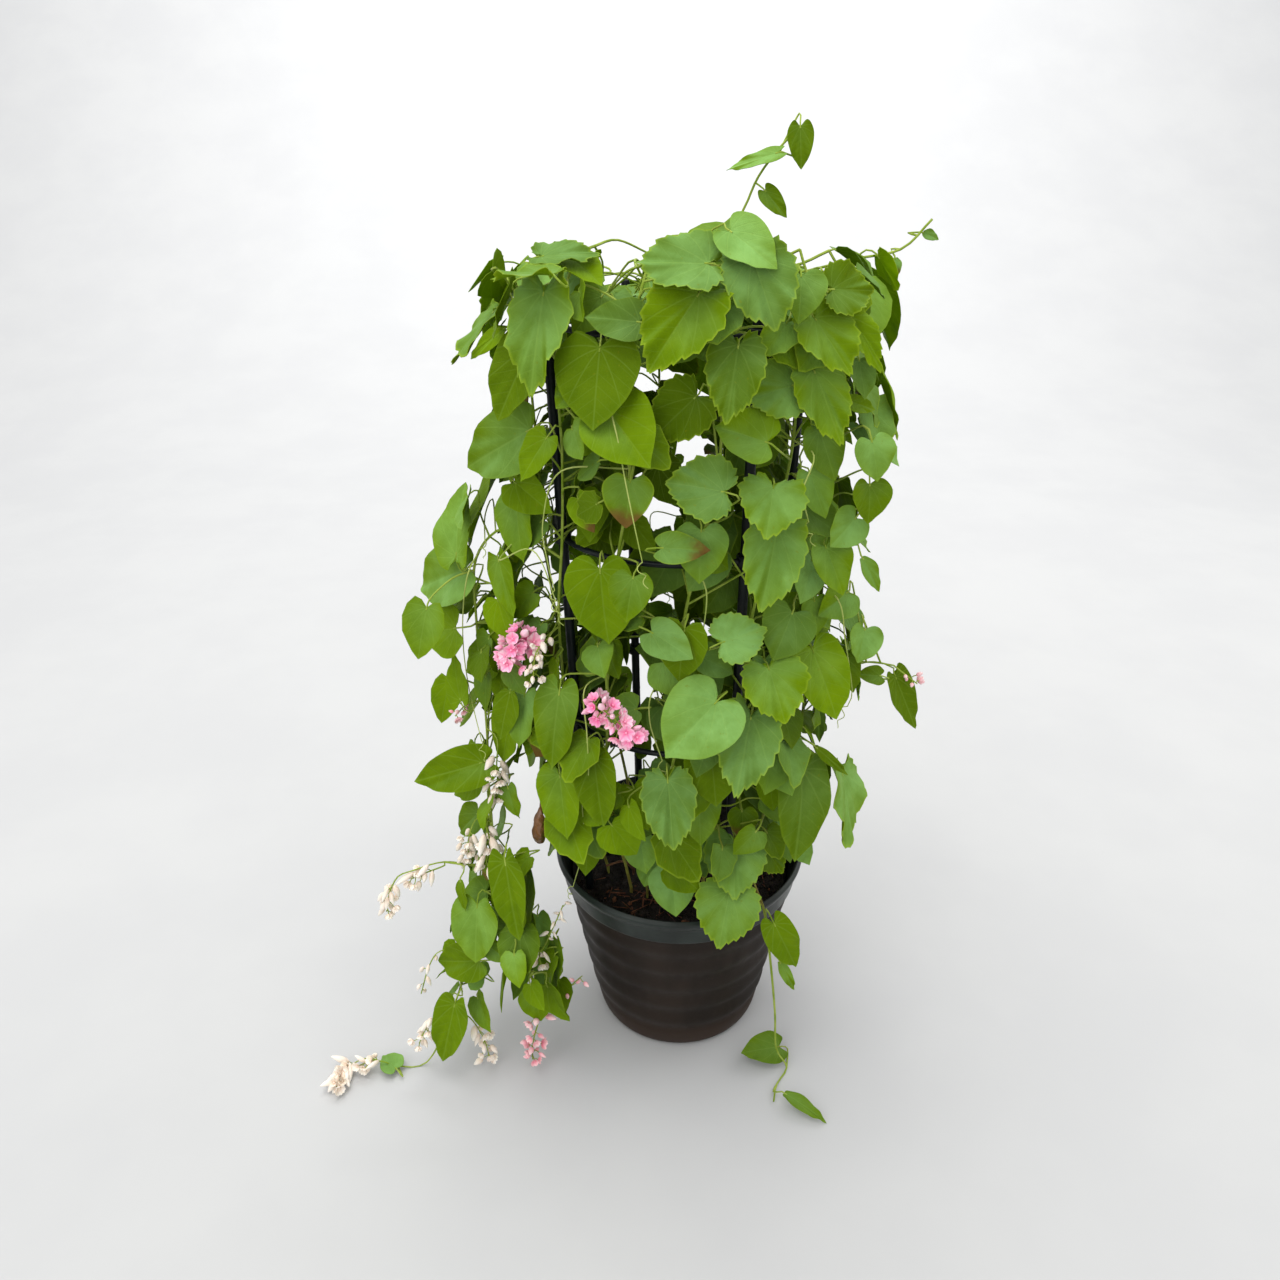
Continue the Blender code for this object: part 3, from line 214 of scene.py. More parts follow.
# one face of the leaves: leafSpot holds along, across and how near the margin, leafTone holds the blend from
# painted sky reflection to olive, toothed and shade
def leafMaterial(name, look):
    made, tree, shader = newMaterial(name, look["roughness"], look["shine"])
    spot = readAttribute(tree, "leafSpot")
    skySheenToOlive, toothed, shade = split(tree, readAttribute(tree, "leafTone"))
    along, across, margin = split(tree, spot)
    place = addNode(tree, "TexCoord").outputs["Object"]
    cloudy = useGroup(tree, speckle, {"Vector": place, "Scale": 38.0, "Grain": 260.0})
    veined = useGroup(tree, veins, {"Spot": spot, "Fan": 0.52, "Pitch": 0.15})
    # painted sky reflection: cool grey-green where the blend is low, on parts turned to the sky; olive where
    # it is high
    colour = blend(tree, skySheenToOlive, look["cool"], look["warm"])
    colour = blend(tree, times(tree, cloudy["Cloud"], 0.42), colour, look["dark"])
    # painted shade: deep darkens inner leaves, on top of a random darkening per leaf
    colour = blend(tree, times(tree, shade, 0.82), colour, look["deep"])
    colour = blend(tree, times(tree, veined["Vein"], look["veinShow"]), colour, look["vein"])
    dry = fade(tree, toothed, 1.2, 1.8)      # toothed is 2 on a leaf with a dry tip
    rim = times(tree, fade(tree, margin, 0.93, 1.0),
                calc(tree, "ADD", 0.08, times(tree, calc(tree, "MINIMUM", toothed, 1.0), 0.30)))
    colour = blend(tree, rim, colour, look["rim"])
    spots = times(tree, fade(tree, cloudy["Fine"], 0.68, 0.76), 0.35)
    colour = blend(tree, spots, colour, look["speck"])
    dryPart = fade(tree, calc(tree, "ADD", along, times(tree, cloudy["Cloud"], 0.25)), 0.62, 1.02)
    colour = blend(tree, times(tree, dry, dryPart), colour, look["dry"])
    tree.links.new(colour, shader.inputs["Base Color"])
    tree.links.new(fade(tree, cloudy["Cloud"], 0.0, 1.0, look["roughness"] - 0.07, look["roughness"] + 0.1),
                   shader.inputs["Roughness"])
    addBump(tree, shader, veined["Height"], look["bump"], 0.0012)
    return made


# upper faces: cool is the painted sky reflection, deep the painted shade
leafUpper = leafMaterial("leafUpper", {
    "roughness": 0.58, "shine": 0.05, "cool": (0.230, 0.440, 0.120), "warm": (0.172, 0.288, 0.001),
    "dark": (0.085, 0.170, 0.002), "deep": (0.038, 0.074, 0.000), "vein": (0.330, 0.500, 0.110),
    "veinShow": 0.10, "rim": (0.340, 0.470, 0.030), "speck": (0.180, 0.200, 0.005),
    "dry": (0.150, 0.088, 0.020), "bump": 0.24})
# undersides: their own paler olive, made brighter and yellower as painted light shining through the blade
leafUnder = leafMaterial("leafUnder", {
    "roughness": 0.64, "shine": 0.04, "cool": (0.150, 0.290, 0.004), "warm": (0.205, 0.350, 0.000),
    "dark": (0.080, 0.150, 0.000), "deep": (0.042, 0.080, 0.000), "vein": (0.290, 0.420, 0.030),
    "veinShow": 0.24, "rim": (0.330, 0.410, 0.020), "speck": (0.150, 0.170, 0.004),
    "dry": (0.165, 0.100, 0.022), "bump": -0.30})


# cloudy two-tone finish with a fine grain, for stems, bark, plastic and soil; low is the colour near the
# ground, which fades out between the reaches lowNear and lowFar from the pot's axis
def plainMaterial(name, look):
    made, tree, shader = newMaterial(name, look["roughness"], look.get("specular", 0.4))
    place = addNode(tree, "TexCoord").outputs["Object"]
    stretch = look.get("stretch", (1.0, 1.0, 1.0))
    stretched = addNode(tree, "Mapping", {"Vector": place, "Scale": stretch}).outputs[0]
    mask = useGroup(tree, speckle, {"Vector": stretched, "Scale": look["scale"], "Grain": look["grain"]})
    colour = blend(tree, mask["Cloud"], look["light"], look["dark"])
    if "low" in look:
        x, y, height = split(tree, place)
        lowMask = times(tree, fade(tree, height, look["lowFrom"], look["lowTo"], 1.0, 0.0), look["lowShow"])
        lowNear, lowFar = 0.145, 0.170
        lowMask = times(tree, lowMask, fade(tree, span(tree, x, y), lowNear, lowFar, 1.0, 0.0))
        uneven = calc(tree, "ADD", 0.45, times(tree, mask["Cloud"], 0.55))
        colour = blend(tree, times(tree, lowMask, uneven), colour, look["low"])
    if "speck" in look:
        bits = fade(tree, mask["Fine"], look["speckFrom"], look["speckFrom"] + 0.05)
        colour = blend(tree, times(tree, bits, look["speckShow"]), colour, look["speck"])
    tree.links.new(colour, shader.inputs["Base Color"])
    tree.links.new(fade(tree, mask["Cloud"], 0.0, 1.0, look["roughness"] - 0.08, look["roughness"] + 0.08),
                   shader.inputs["Roughness"])
    addBump(tree, shader, mask["Fine"], look["bump"], look["bumpDepth"])
    return made


stemGreen = plainMaterial("stemGreen", {
    "roughness": 0.55, "specular": 0.12, "light": (0.330, 0.420, 0.070), "dark": (0.200, 0.300, 0.022),
    "scale": 60.0, "grain": 1400.0, "low": (0.180, 0.085, 0.035), "lowFrom": 0.20, "lowTo": 0.42,
    "lowShow": 0.8, "bump": 0.4, "bumpDepth": 0.0004})
tendrilGreen = plainMaterial("tendrilGreen", {
    "roughness": 0.55, "specular": 0.15, "light": (0.450, 0.520, 0.150), "dark": (0.320, 0.420, 0.080),
    "scale": 50.0, "grain": 1500.0, "bump": 0.3, "bumpDepth": 0.0003})
oldBark = plainMaterial("oldBark", {
    "roughness": 0.8, "light": (0.230, 0.100, 0.045), "dark": (0.090, 0.035, 0.018), "scale": 90.0,
    "grain": 700.0, "stretch": (1.0, 1.0, 0.25), "speck": (0.330, 0.190, 0.100), "speckFrom": 0.58,
    "speckShow": 0.5, "bump": 0.9, "bumpDepth": 0.0010})
witheredBrown = plainMaterial("witheredBrown", {
    "roughness": 0.30, "specular": 0.6, "light": (0.260, 0.110, 0.035), "dark": (0.110, 0.050, 0.018),
    "scale": 70.0, "grain": 600.0, "stretch": (1.0, 1.0, 0.3), "bump": 0.4, "bumpDepth": 0.0006})
potPlastic = plainMaterial("potPlastic", {
    "roughness": 0.52, "specular": 0.16, "light": (0.023, 0.0150, 0.0105), "dark": (0.013, 0.0090, 0.0065),
    "scale": 14.0, "grain": 900.0, "stretch": (1.0, 1.0, 0.5), "low": (0.075, 0.045, 0.032), "lowFrom": 0.004,
    "lowTo": 0.050, "lowShow": 0.55, "speck": (0.080, 0.065, 0.055), "speckFrom": 0.70, "speckShow": 0.5,
    "bump": 0.25, "bumpDepth": 0.0004})
# pot lip: lighter and greener than the wall, a painted highlight of the rim; the specks are dust
potLipPaintedHighlight = plainMaterial("potLipPaintedHighlight", {
    "roughness": 0.38, "specular": 0.3, "light": (0.018, 0.026, 0.022), "dark": (0.010, 0.014, 0.012),
    "scale": 22.0, "grain": 1000.0, "speck": (0.110, 0.095, 0.075), "speckFrom": 0.70, "speckShow": 0.4,
    "bump": 0.2, "bumpDepth": 0.0003})
trellisPlastic = plainMaterial("trellisPlastic", {
    "roughness": 0.42, "specular": 0.25, "light": (0.008, 0.012, 0.014), "dark": (0.004, 0.006, 0.007),
    "scale": 30.0, "grain": 500.0, "speck": (0.060, 0.055, 0.048), "speckFrom": 0.68, "speckShow": 0.4,
    "bump": 0.3, "bumpDepth": 0.0005})
soilDark = plainMaterial("soilDark", {
    "roughness": 0.93, "light": (0.022, 0.014, 0.010), "dark": (0.007, 0.005, 0.004), "scale": 70.0,
    "grain": 420.0, "speck": (0.110, 0.046, 0.022), "speckFrom": 0.66, "speckShow": 0.6, "bump": 1.0,
    "bumpDepth": 0.0030})
soilRusty = plainMaterial("soilRusty", {
    "roughness": 0.85, "light": (0.210, 0.080, 0.034), "dark": (0.080, 0.028, 0.015), "scale": 120.0,
    "grain": 700.0, "bump": 0.8, "bumpDepth": 0.0010})


# papery petals: leafSpot holds how far out, how far across, and a draw for each flower
def petalMaterial(name, look):
    made, tree, shader = newMaterial(name, 0.55, 0.3)
    out, across, draw = split(tree, readAttribute(tree, "leafSpot"))
    place = addNode(tree, "TexCoord").outputs["Object"]
    mask = useGroup(tree, speckle, {"Vector": place, "Scale": 260.0, "Grain": 1600.0})
    colour = blend(tree, fade(tree, out, 0.05, 0.95), look["heart"], look["edge"])
    colour = blend(tree, times(tree, draw, look["spread"]), colour, look["pale"])
    rib = fade(tree, calc(tree, "ABSOLUTE", across), 0.02, 0.22, 0.55, 0.0)
    colour = blend(tree, rib, colour, look["heart"])
    colour = blend(tree, times(tree, mask["Cloud"], 0.35), colour, look["fleck"])
    tree.links.new(colour, shader.inputs["Base Color"])
    addBump(tree, shader, mask["Cloud"], 0.35, 0.0004)
    return made


petalPink = petalMaterial("petalPink", {
    "heart": (0.98, 0.120, 0.400), "edge": (1.00, 0.450, 0.670), "spread": 0.95, "pale": (1.00, 0.820, 0.850),
    "fleck": (1.00, 0.320, 0.540)})
petalBlush = petalMaterial("petalBlush", {
    "heart": (0.92, 0.260, 0.360), "edge": (0.98, 0.680, 0.690), "spread": 0.6, "pale": (0.98, 0.820, 0.800),
    "fleck": (0.96, 0.420, 0.500)})
petalCream = petalMaterial("petalCream", {
    "heart": (0.88, 0.700, 0.570), "edge": (0.99, 0.950, 0.880), "spread": 0.5, "pale": (0.98, 0.860, 0.830),
    "fleck": (0.90, 0.840, 0.640)})
print("finishes")


# pieces: none reaches below the floor, and edges sharper than the given angle stay crisp
def linkPiece(name, mesh, materials, nodes, sharp=50.0):
    for vert in mesh.vertices:
        vert.co.z = max(vert.co.z, 0.0)
    for item in materials:
        mesh.materials.append(item)
    mesh.shade_smooth()
    mesh.set_sharp_from_angle(angle=math.radians(sharp))
    piece = addObject(name, mesh)
    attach(piece, "root")
    if nodes:
        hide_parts(*nodes)


def meshFrom(bm, name):
    mesh = bpy.data.meshes.new(name)
    bm.to_mesh(mesh)
    bm.free()
    return mesh


def addMesh(bm, mesh):
    bm.from_mesh(mesh)
    bpy.data.meshes.remove(mesh)


def cyl(angleDegrees, radius, z):
    a = math.radians(angleDegrees)
    return Vector((radius * math.cos(a), radius * math.sin(a), z))


def angleOf(point):
    return math.degrees(math.atan2(point[1], point[0]))


def nearest(points, target):
    return min(points, key=lambda p: (p - target).length)


# turns the upright axis to the given direction
def upTo(direction):
    return direction.to_track_quat("Z", "Y").to_matrix().to_4x4()


# Catmull-Rom through the points, sampled about every step metres
def smoothPath(points, step):
    pts = [points[0] * 2 - points[1]] + list(points) + [points[-1] * 2 - points[-2]]
    path = [points[0].copy()]
    for i in range(1, len(pts) - 2):
        a, b, c, d = pts[i - 1:i + 3]
        count = max(1, round((c - b).length / step))
        for k in range(1, count + 1):
            t = k / count
            path.append((b * 2 + (c - a) * t + (a * 2 - b * 5 + c * 4 - d) * t * t
                         + (b * 3 - a - c * 3 + d) * t ** 3) / 2)
    return path


# turns a closed or axis-to-axis profile of (radius, height) once round the upright axis
def spunShape(profile, steps):
    bm = bmesh.new()
    spots = [bm.verts.new((r, 0.0, z)) for r, z in profile]
    edges = [bm.edges.new(pair) for pair in zip(spots, spots[1:])]
    bmesh.ops.spin(bm, geom=spots + edges, cent=(0, 0, 0), axis=(0, 0, 1), angle=2 * math.pi, steps=steps,
                   use_merge=True)
    bmesh.ops.remove_doubles(bm, verts=bm.verts, dist=0.00002)
    bmesh.ops.recalc_face_normals(bm, faces=bm.faces)
    return bm


# rounds the inner corners of a profile with short curves
def softCorners(points, radius, steps=4):
    flat = [Vector(p) for p in points]
    path = [flat[0]]
    for a, p, b in zip(flat, flat[1:], flat[2:]):
        first = p + (a - p).normalized() * min(radius, (a - p).length * 0.45)
        last = p + (b - p).normalized() * min(radius, (b - p).length * 0.45)
        for k in range(steps + 1):
            t = k / steps
            path.append(first * (1 - t) ** 2 + p * (2 * t * (1 - t)) + last * t ** 2)
    return path + [flat[-1]]


# pot
pot = {"height": 0.225, "rim": 0.140, "collar": 0.1325, "collarHigh": 0.210, "collarLow": 0.192,
       "wallTop": 0.1265, "wallHigh": 0.188, "ribsFrom": 0.186, "ribsTo": 0.016, "ribs": 5,
       "ribDepth": 0.0020, "base": 0.0925, "wall": 0.0024, "inside": 0.207, "lipFrom": 0.1905, "steps": 128}
lipCurve, footCurve, insideCurve = 0.0022, 0.0015, 0.0016
outer = softCorners([(pot["rim"] - 0.0035, pot["height"]), (pot["rim"], pot["height"] - 0.003),
                     (pot["rim"] - 0.0008, pot["height"] - 0.007),
                     (pot["collar"] + 0.0015, pot["collarHigh"]), (pot["collar"], pot["collarLow"]),
                     (pot["wallTop"], pot["wallHigh"])], lipCurve)
for i in range(2, 62):
    t = i / 64
    r = pot["wallTop"] + (pot["base"] + 0.0035 - pot["wallTop"]) * t
    swell = math.cos(math.pi * (t * (2 * pot["ribs"] + 1) - 1.0))
    outer.append((r + 0.3 * pot["ribDepth"] + 0.7 * pot["ribDepth"] * swell,
                  pot["ribsFrom"] + (pot["ribsTo"] - pot["ribsFrom"]) * t))
outer += softCorners([(pot["base"] + 0.0032, 0.012), (pot["base"] + 0.002, 0.008), (pot["base"], 0.0035),
                      (pot["base"] - 0.0045, 0.0), (0.0, 0.0)], footCurve)
inner = softCorners([(0.0, pot["wall"] + 0.0006), (pot["base"] - pot["wall"] - 0.006, pot["wall"] + 0.0006),
                     (pot["base"] - pot["wall"] + 0.001, 0.012),
                     (pot["wallTop"] - pot["wall"] - 0.0003, pot["ribsFrom"]),
                     (pot["collar"] - pot["wall"], pot["inside"]),
                     (pot["rim"] - 0.0065, pot["height"] - 0.003),
                     (pot["rim"] - 0.0045, pot["height"])], insideCurve)
bm = spunShape([tuple(p) for p in inner + outer], pot["steps"])
# the lip above lipFrom takes the finish with the painted highlight
for face in bm.faces:
    face.material_index = 1 if face.calc_center_median().z > pot["lipFrom"] else 0
linkPiece("potShell", meshFrom(bm, "potShell"), [potPlastic, potLipPaintedHighlight], ["pot"], 35.0)

# soil: lumpy top, crumbs and rusty bits of old stem on it; past the loose ones, twigs lie at the front left
soil = {"top": 0.197, "radius": 0.1223, "swell": 0.0022, "lumps": 0.0032, "grit": 0.0016, "sink": 0.004,
        "steps": 144, "crumbs": 620, "crumbSize": (0.0009, 0.0036), "rustyEach": 9, "twigs": 110, "loose": 55,
        "twigThick": (0.0005, 0.0011), "twigLength": (0.010, 0.030),
        "litter": ((215, 280), (0.035, 0.105)), "seed": 5}
soilDraw = random.Random(soil["seed"])


def soilHeight(x, y):
    swell = soil["swell"] * math.sin(x * 95.0 + 1.3) * math.cos(y * 83.0 - 0.7)
    rough = (noise.noise(Vector((x * 60, y * 60, 0.3))) * soil["lumps"]
             + noise.noise(Vector((x * 190, y * 190, 2.0))) * soil["grit"])
    return soil["top"] + swell + rough - soil["sink"] * (math.hypot(x, y) / soil["radius"]) ** 4


profile = [(0.0, soil["top"])] + [(soil["radius"] * k / 40, soil["top"]) for k in range(1, 41)]
profile += [(pot["base"] - pot["wall"], 0.0135), (pot["base"] - 0.010, pot["wall"] + 0.0009),
            (0.0, pot["wall"] + 0.0009)]
bm = spunShape(profile, soil["steps"])
for vert in bm.verts:
    if vert.co.z > soil["top"] - 0.001:
        vert.co.z = soilHeight(vert.co.x, vert.co.y)


def paintFaces(made, index):
    for vert in made["verts"]:
        for face in vert.link_faces:
            face.material_index = index


def anyTurn():
    first = Matrix.Rotation(soilDraw.uniform(0, 6.3), 4, "Z")
    return first @ Matrix.Rotation(soilDraw.uniform(0, 6.3), 4, "X")


for k in range(soil["crumbs"]):
    spot = cyl(soilDraw.uniform(0, 360), soil["radius"] * 0.97 * math.sqrt(soilDraw.random()), 0.0)
    size = soilDraw.uniform(*soil["crumbSize"]) * (1.0 if soilDraw.random() < 0.85 else 1.6)
    spot.z = soilHeight(spot.x, spot.y) + size * 0.3
    turn = anyTurn()
    squash = Matrix.Diagonal((1.0, soilDraw.uniform(0.5, 1.0), soilDraw.uniform(0.4, 0.9), 1))
    made = bmesh.ops.create_icosphere(bm, subdivisions=1, radius=size,
                                      matrix=Matrix.Translation(spot) @ turn @ squash)
    for vert in made["verts"]:
        vert.co += Vector([soilDraw.uniform(-0.2, 0.2) * size for _ in range(3)])
    paintFaces(made, 1 if k % soil["rustyEach"] == 0 else 0)
for k in range(soil["twigs"]):
    isLitter = k > soil["loose"]
    a, r = soilDraw.uniform(0, 360), soil["radius"] * 0.9 * math.sqrt(soilDraw.random())
    if isLitter:
        a, r = [soilDraw.uniform(*reach) for reach in soil["litter"]]
    spot = cyl(a, r, 0.0)
    spot.z = soilHeight(spot.x, spot.y) + 0.0012 + (soilDraw.uniform(0.0, 0.006) if isLitter else 0.0)
    tilt = soilDraw.uniform(0.9 if isLitter else 1.35, 1.7)
    turn = Matrix.Rotation(soilDraw.uniform(0, 6.3), 4, "Z") @ Matrix.Rotation(tilt, 4, "X")
    thick = soilDraw.uniform(*soil["twigThick"])
    made = bmesh.ops.create_cone(bm, cap_ends=True, segments=5, radius1=thick, radius2=thick * 0.6,
                                 depth=soilDraw.uniform(*soil["twigLength"]),
                                 matrix=Matrix.Translation(spot) @ turn)
    paintFaces(made, 1)
linkPiece("soilFill", meshFrom(bm, "soilFill"), [soilDark, soilRusty], ["soil"], 60.0)

# trellis: coated stakes with blunt tips, rings with an eye for each stake
trellis = {"radius": 0.1225, "flare": 0.03, "stake": 0.0045, "bottom": 0.167, "top": 0.818, "rod": 0.0027,
           "angles": (24.0, 114.0, 204.0, 294.0), "eye": 0.0078, "eyeHeight": 0.010, "eyeGap": 0.0006,
           "rings": {"top": 0.803, "middle": 0.612, "low": 0.415}, "tip": 0.012, "seams": 27, "seam": 0.0022}


def trellisAt(z):
    return trellis["radius"] + trellis["flare"] * (z - 0.6)


# a point on the trellis at this angle and height
def onTrellis(angleDegrees, z):
    return cyl(angleDegrees, trellisAt(z), z)


for letter, stakeAngle in zip("abcd", trellis["angles"]):
    foot, head = onTrellis(stakeAngle, trellis["bottom"]), onTrellis(stakeAngle, trellis["top"])
    length = (head - foot).length
    profile = [(0.0, 0.0), (0.0016, 0.0), (trellis["stake"], trellis["tip"])]
    for k in range(1, trellis["seams"]):
        z = trellis["tip"] + (length - 2 * trellis["tip"]) * k / trellis["seams"]
        profile += [(trellis["stake"], z - trellis["seam"]), (trellis["stake"] + 0.0002, z),
                    (trellis["stake"], z + trellis["seam"])]
    profile += [(trellis["stake"], length - 0.005), (trellis["stake"] * 0.8, length - 0.0016), (0.0, length)]
    bm = spunShape(profile, 20)
    bmesh.ops.transform(bm, matrix=Matrix.Translation(foot) @ upTo(head - foot), verts=bm.verts)
    linkPiece("stake" + letter.upper(), meshFrom(bm, "stake"), [trellisPlastic], ["stake_" + letter])
for ringName, ringZ in trellis["rings"].items():
    bm = bmesh.new()
    made = bmesh.ops.create_circle(bm, segments=12, radius=trellis["rod"], matrix=Matrix.Translation(
        (trellisAt(ringZ), 0, ringZ)) @ Matrix.Rotation(math.pi / 2, 4, "X"))
    bmesh.ops.spin(bm, geom=made["verts"] + bm.edges[:], cent=(0, 0, 0), axis=(0, 0, 1), angle=2 * math.pi,
                   steps=120, use_merge=True)
    bmesh.ops.recalc_face_normals(bm, faces=bm.faces)
    for stakeAngle in trellis["angles"]:
        half, hole = trellis["eyeHeight"] / 2, trellis["stake"] + trellis["eyeGap"]
        rim = trellis["eye"]
        eye = spunShape([(hole, -half), (rim, -half), (rim, half), (hole, half), (hole, -half)], 24)
        low, high = onTrellis(stakeAngle, ringZ - half), onTrellis(stakeAngle, ringZ + half)
        bmesh.ops.bevel(eye, geom=[e for e in eye.edges if e.calc_face_angle(0.0) > 1.0], offset=0.0008,
                        segments=2, profile=0.5, affect="EDGES", material=-1)
        place = Matrix.Translation((low + high) / 2) @ upTo(high - low)
        bmesh.ops.transform(eye, matrix=place, verts=eye.verts)
        addMesh(bm, meshFrom(eye, "eye"))
    linkPiece("ring" + ringName.capitalize(), meshFrom(bm, "ring"), [trellisPlastic], ["ring_" + ringName])
print("pot, soil and trellis")

# leaves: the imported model's own corners and surfaces say where each leaf is and what a new one must clear
climbing = ["vine_left", "vine_front_left", "vine_front", "vine_front_right", "vine_right", "vine_back_right",
            "vine_back_a", "vine_back_b", "vine_back_left", "vine_side_left"]
leafNodes = climbing + ["vine_trailing", "sprout_a", "sprout_b", "sprout_c"]


# a search tree over points, with the owner of each
def searchTree(rows):
    tree = KDTree(len(rows))
    for i, row in enumerate(rows):
        tree.insert(row[0], i)
    tree.balance()
    return tree, [row[1] for row in rows]


corners, cornerOwner = searchTree([(vert.co, name) for name in leafNodes
                                   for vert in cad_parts[name].data.vertices])
surfaces = {}
solidVerts, solidFaces = [], []
for name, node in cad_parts.items():
    verts = [v.co.copy() for v in node.data.vertices]
    faces = [tuple(p.vertices) for p in node.data.polygons]
    surfaces[name] = BVHTree.FromPolygons(verts, faces)
    solidFaces += [tuple(i + len(solidVerts) for i in f) for f in faces]
    solidVerts += verts
solids = BVHTree.FromPolygons(solidVerts, solidFaces)

# half outlines as (along, across): b broad, s plain, f few-sided, n narrow; t is a broad one with teeth
heart = {
    "b": ((0.0, 0.0), (-0.08, 0.10), (-0.19, 0.42), (-0.06, 0.84), (0.27, 1.0), (0.68, 0.70), (1.0, 0.0)),
    "s": ((0.0, 0.0), (-0.08, 0.13), (-0.17, 0.58), (0.17, 1.0), (0.63, 0.74), (1.0, 0.0)),
    "f": ((0.0, 0.0), (-0.14, 0.53), (0.16, 1.0), (0.63, 0.72), (1.0, 0.0)),
    "n": ((0.0, 0.0), (-0.02, 0.35), (0.28, 1.0), (0.68, 0.70), (1.0, 0.0)),
}
blade = {"thick": 0.0005, "teeth": 12, "toothHeight": 0.082, "sidePoints": 22, "rings": 6,
         "saw": (-0.55, -0.05, 0.35, 0.80)}
smallBlade = {"thick": 0.0004, "teeth": 5, "toothHeight": 0.085, "sidePoints": 8, "rings": 2,
              "saw": (-0.55, 0.70)}


# margin from the notch round the tip and back, as (along, across) fractions
def outline(kind, wobble, build=blade):
    fine = smoothPath([Vector((u, v, 0.0)) for u, v in heart["b" if kind == "t" else kind]], 0.01)
    saw = build["saw"]
    count = build["teeth"] * len(saw) if kind == "t" else build["sidePoints"]
    half = []
    for i in range(count + 1):
        p = fine[round(i * (len(fine) - 1) / count)]
        s = i / count
        grow = 1.0 + 0.018 * math.sin(5.0 * s + wobble)
        if kind == "t" and 0 < i < count:
            tooth = build["toothHeight"] * (0.78 + 0.42 * math.sin(9.7 * (i // len(saw)) + wobble))
            grow += tooth * saw[i % len(saw)] * min(1.0, 5.0 * s)
        half.append((0.36 + (p.x - 0.36) * grow, max(0.0, p.y) * grow) if 0 < i < count else (p.x, 0.0))
    return half + [(u, -v) for u, v in half[-2::-1]]


# a heart blade: base in the notch, normal and tip directions, and how it bends (fold, droop, wave, phase)
# a plain one past the first length is drawn broad, and one below the second with few sides
class Leaf:
    plainLengths = (0.064, 0.048)

    def __init__(self, base, face, lean, swing, length, breadth, kind, bend):
        self.base = base
        self.length = length
        self.half = breadth / 2
        self.kind = kind
        if kind == "s" and length > self.plainLengths[0]:
            self.kind = "b"
        elif kind == "s" and length < self.plainLengths[1]:
            self.kind = "f"
        self.bend = bend
        out = Vector((math.cos(face), math.sin(face), 0.0))
        up = Vector((0.0, 0.0, 1.0))
        self.normal = out * math.cos(lean) + up * math.sin(lean)
        down = out * math.sin(lean) - up * math.cos(lean)
        self.tip = down * math.cos(swing) + up.cross(out) * math.sin(swing)
        self.side = self.normal.cross(self.tip)

    def at(self, u, v):
        fold, droop, wave, phase = self.bend
        w = abs(v) * self.half / self.length
        rise = fold * w - droop * max(u, 0.0) ** 2 + wave * math.sin(7.0 * u + phase) * abs(v)
        return (self.base + self.tip * (u * self.length) + self.side * (v * self.half)
                + self.normal * (rise * self.length))

    def stalkEnd(self):
        return self.at(-0.05, 0.0) - self.tip * 0.0012

    # where the stalk bends, this far along and behind the blade
    def knee(self, along=0.008, back=0.006):
        return self.stalkEnd() - self.tip * along - self.normal * back


def addBlade(bm, leaf, tone, build):
    rim = outline(leaf.kind, leaf.bend[3], build)
    count, rings = len(rim) - 1, build["rings"]
    ripple = 0.044 if leaf.kind == "t" else 0.020
    own = bmesh.new()
    spot = own.verts.layers.float_vector.new("leafSpot")
    mood = own.verts.layers.float_vector.new("leafTone")
    bmesh.ops.create_grid(own, x_segments=count, y_segments=rings, size=0.5)
    for vert in own.verts:
        u, v = rim[round((vert.co.x + 0.5) * count)]
        f = (round((vert.co.y + 0.5) * rings) / rings) ** 0.8
        u = 0.05 + (u - 0.05) * f
        v *= f
        turn = math.atan2(v, u - 0.1)
        curl = ripple * f ** 3 * (math.sin(6.0 * turn + leaf.bend[3]) + 0.6 * math.sin(11.0 * turn))
        vert.co = leaf.at(u, v) + leaf.normal * (leaf.length * curl)
        vert[spot] = (u, v * leaf.half / leaf.length, f)
        vert[mood] = tone
    bmesh.ops.remove_doubles(own, verts=own.verts, dist=0.000002)
    own.normal_update()
    if sum(f.normal.dot(leaf.normal) for f in own.faces) < 0:
        bmesh.ops.reverse_faces(own, faces=own.faces)
    own.normal_update()
    # painted sky reflection: the blend turns cool grey-green where the blade faces the sky
    for vert in own.verts:      # parts turned to the sky are greyer, margins are more olive
        skySheenToOlive = tone[0] + 0.45 - 0.95 * vert.normal.z + 0.3 * vert[spot].z ** 2
        vert[mood] = (min(1.0, max(0.0, skySheenToOlive)), tone[1], tone[2])
    bmesh.ops.solidify(own, geom=own.faces[:], thickness=build["thick"])
    own.normal_update()
    for face in own.faces:
        face.smooth = True
        face.material_index = 1 if face.normal.dot(leaf.normal) < -0.2 else 0
    addMesh(bm, meshFrom(own, "blade"))


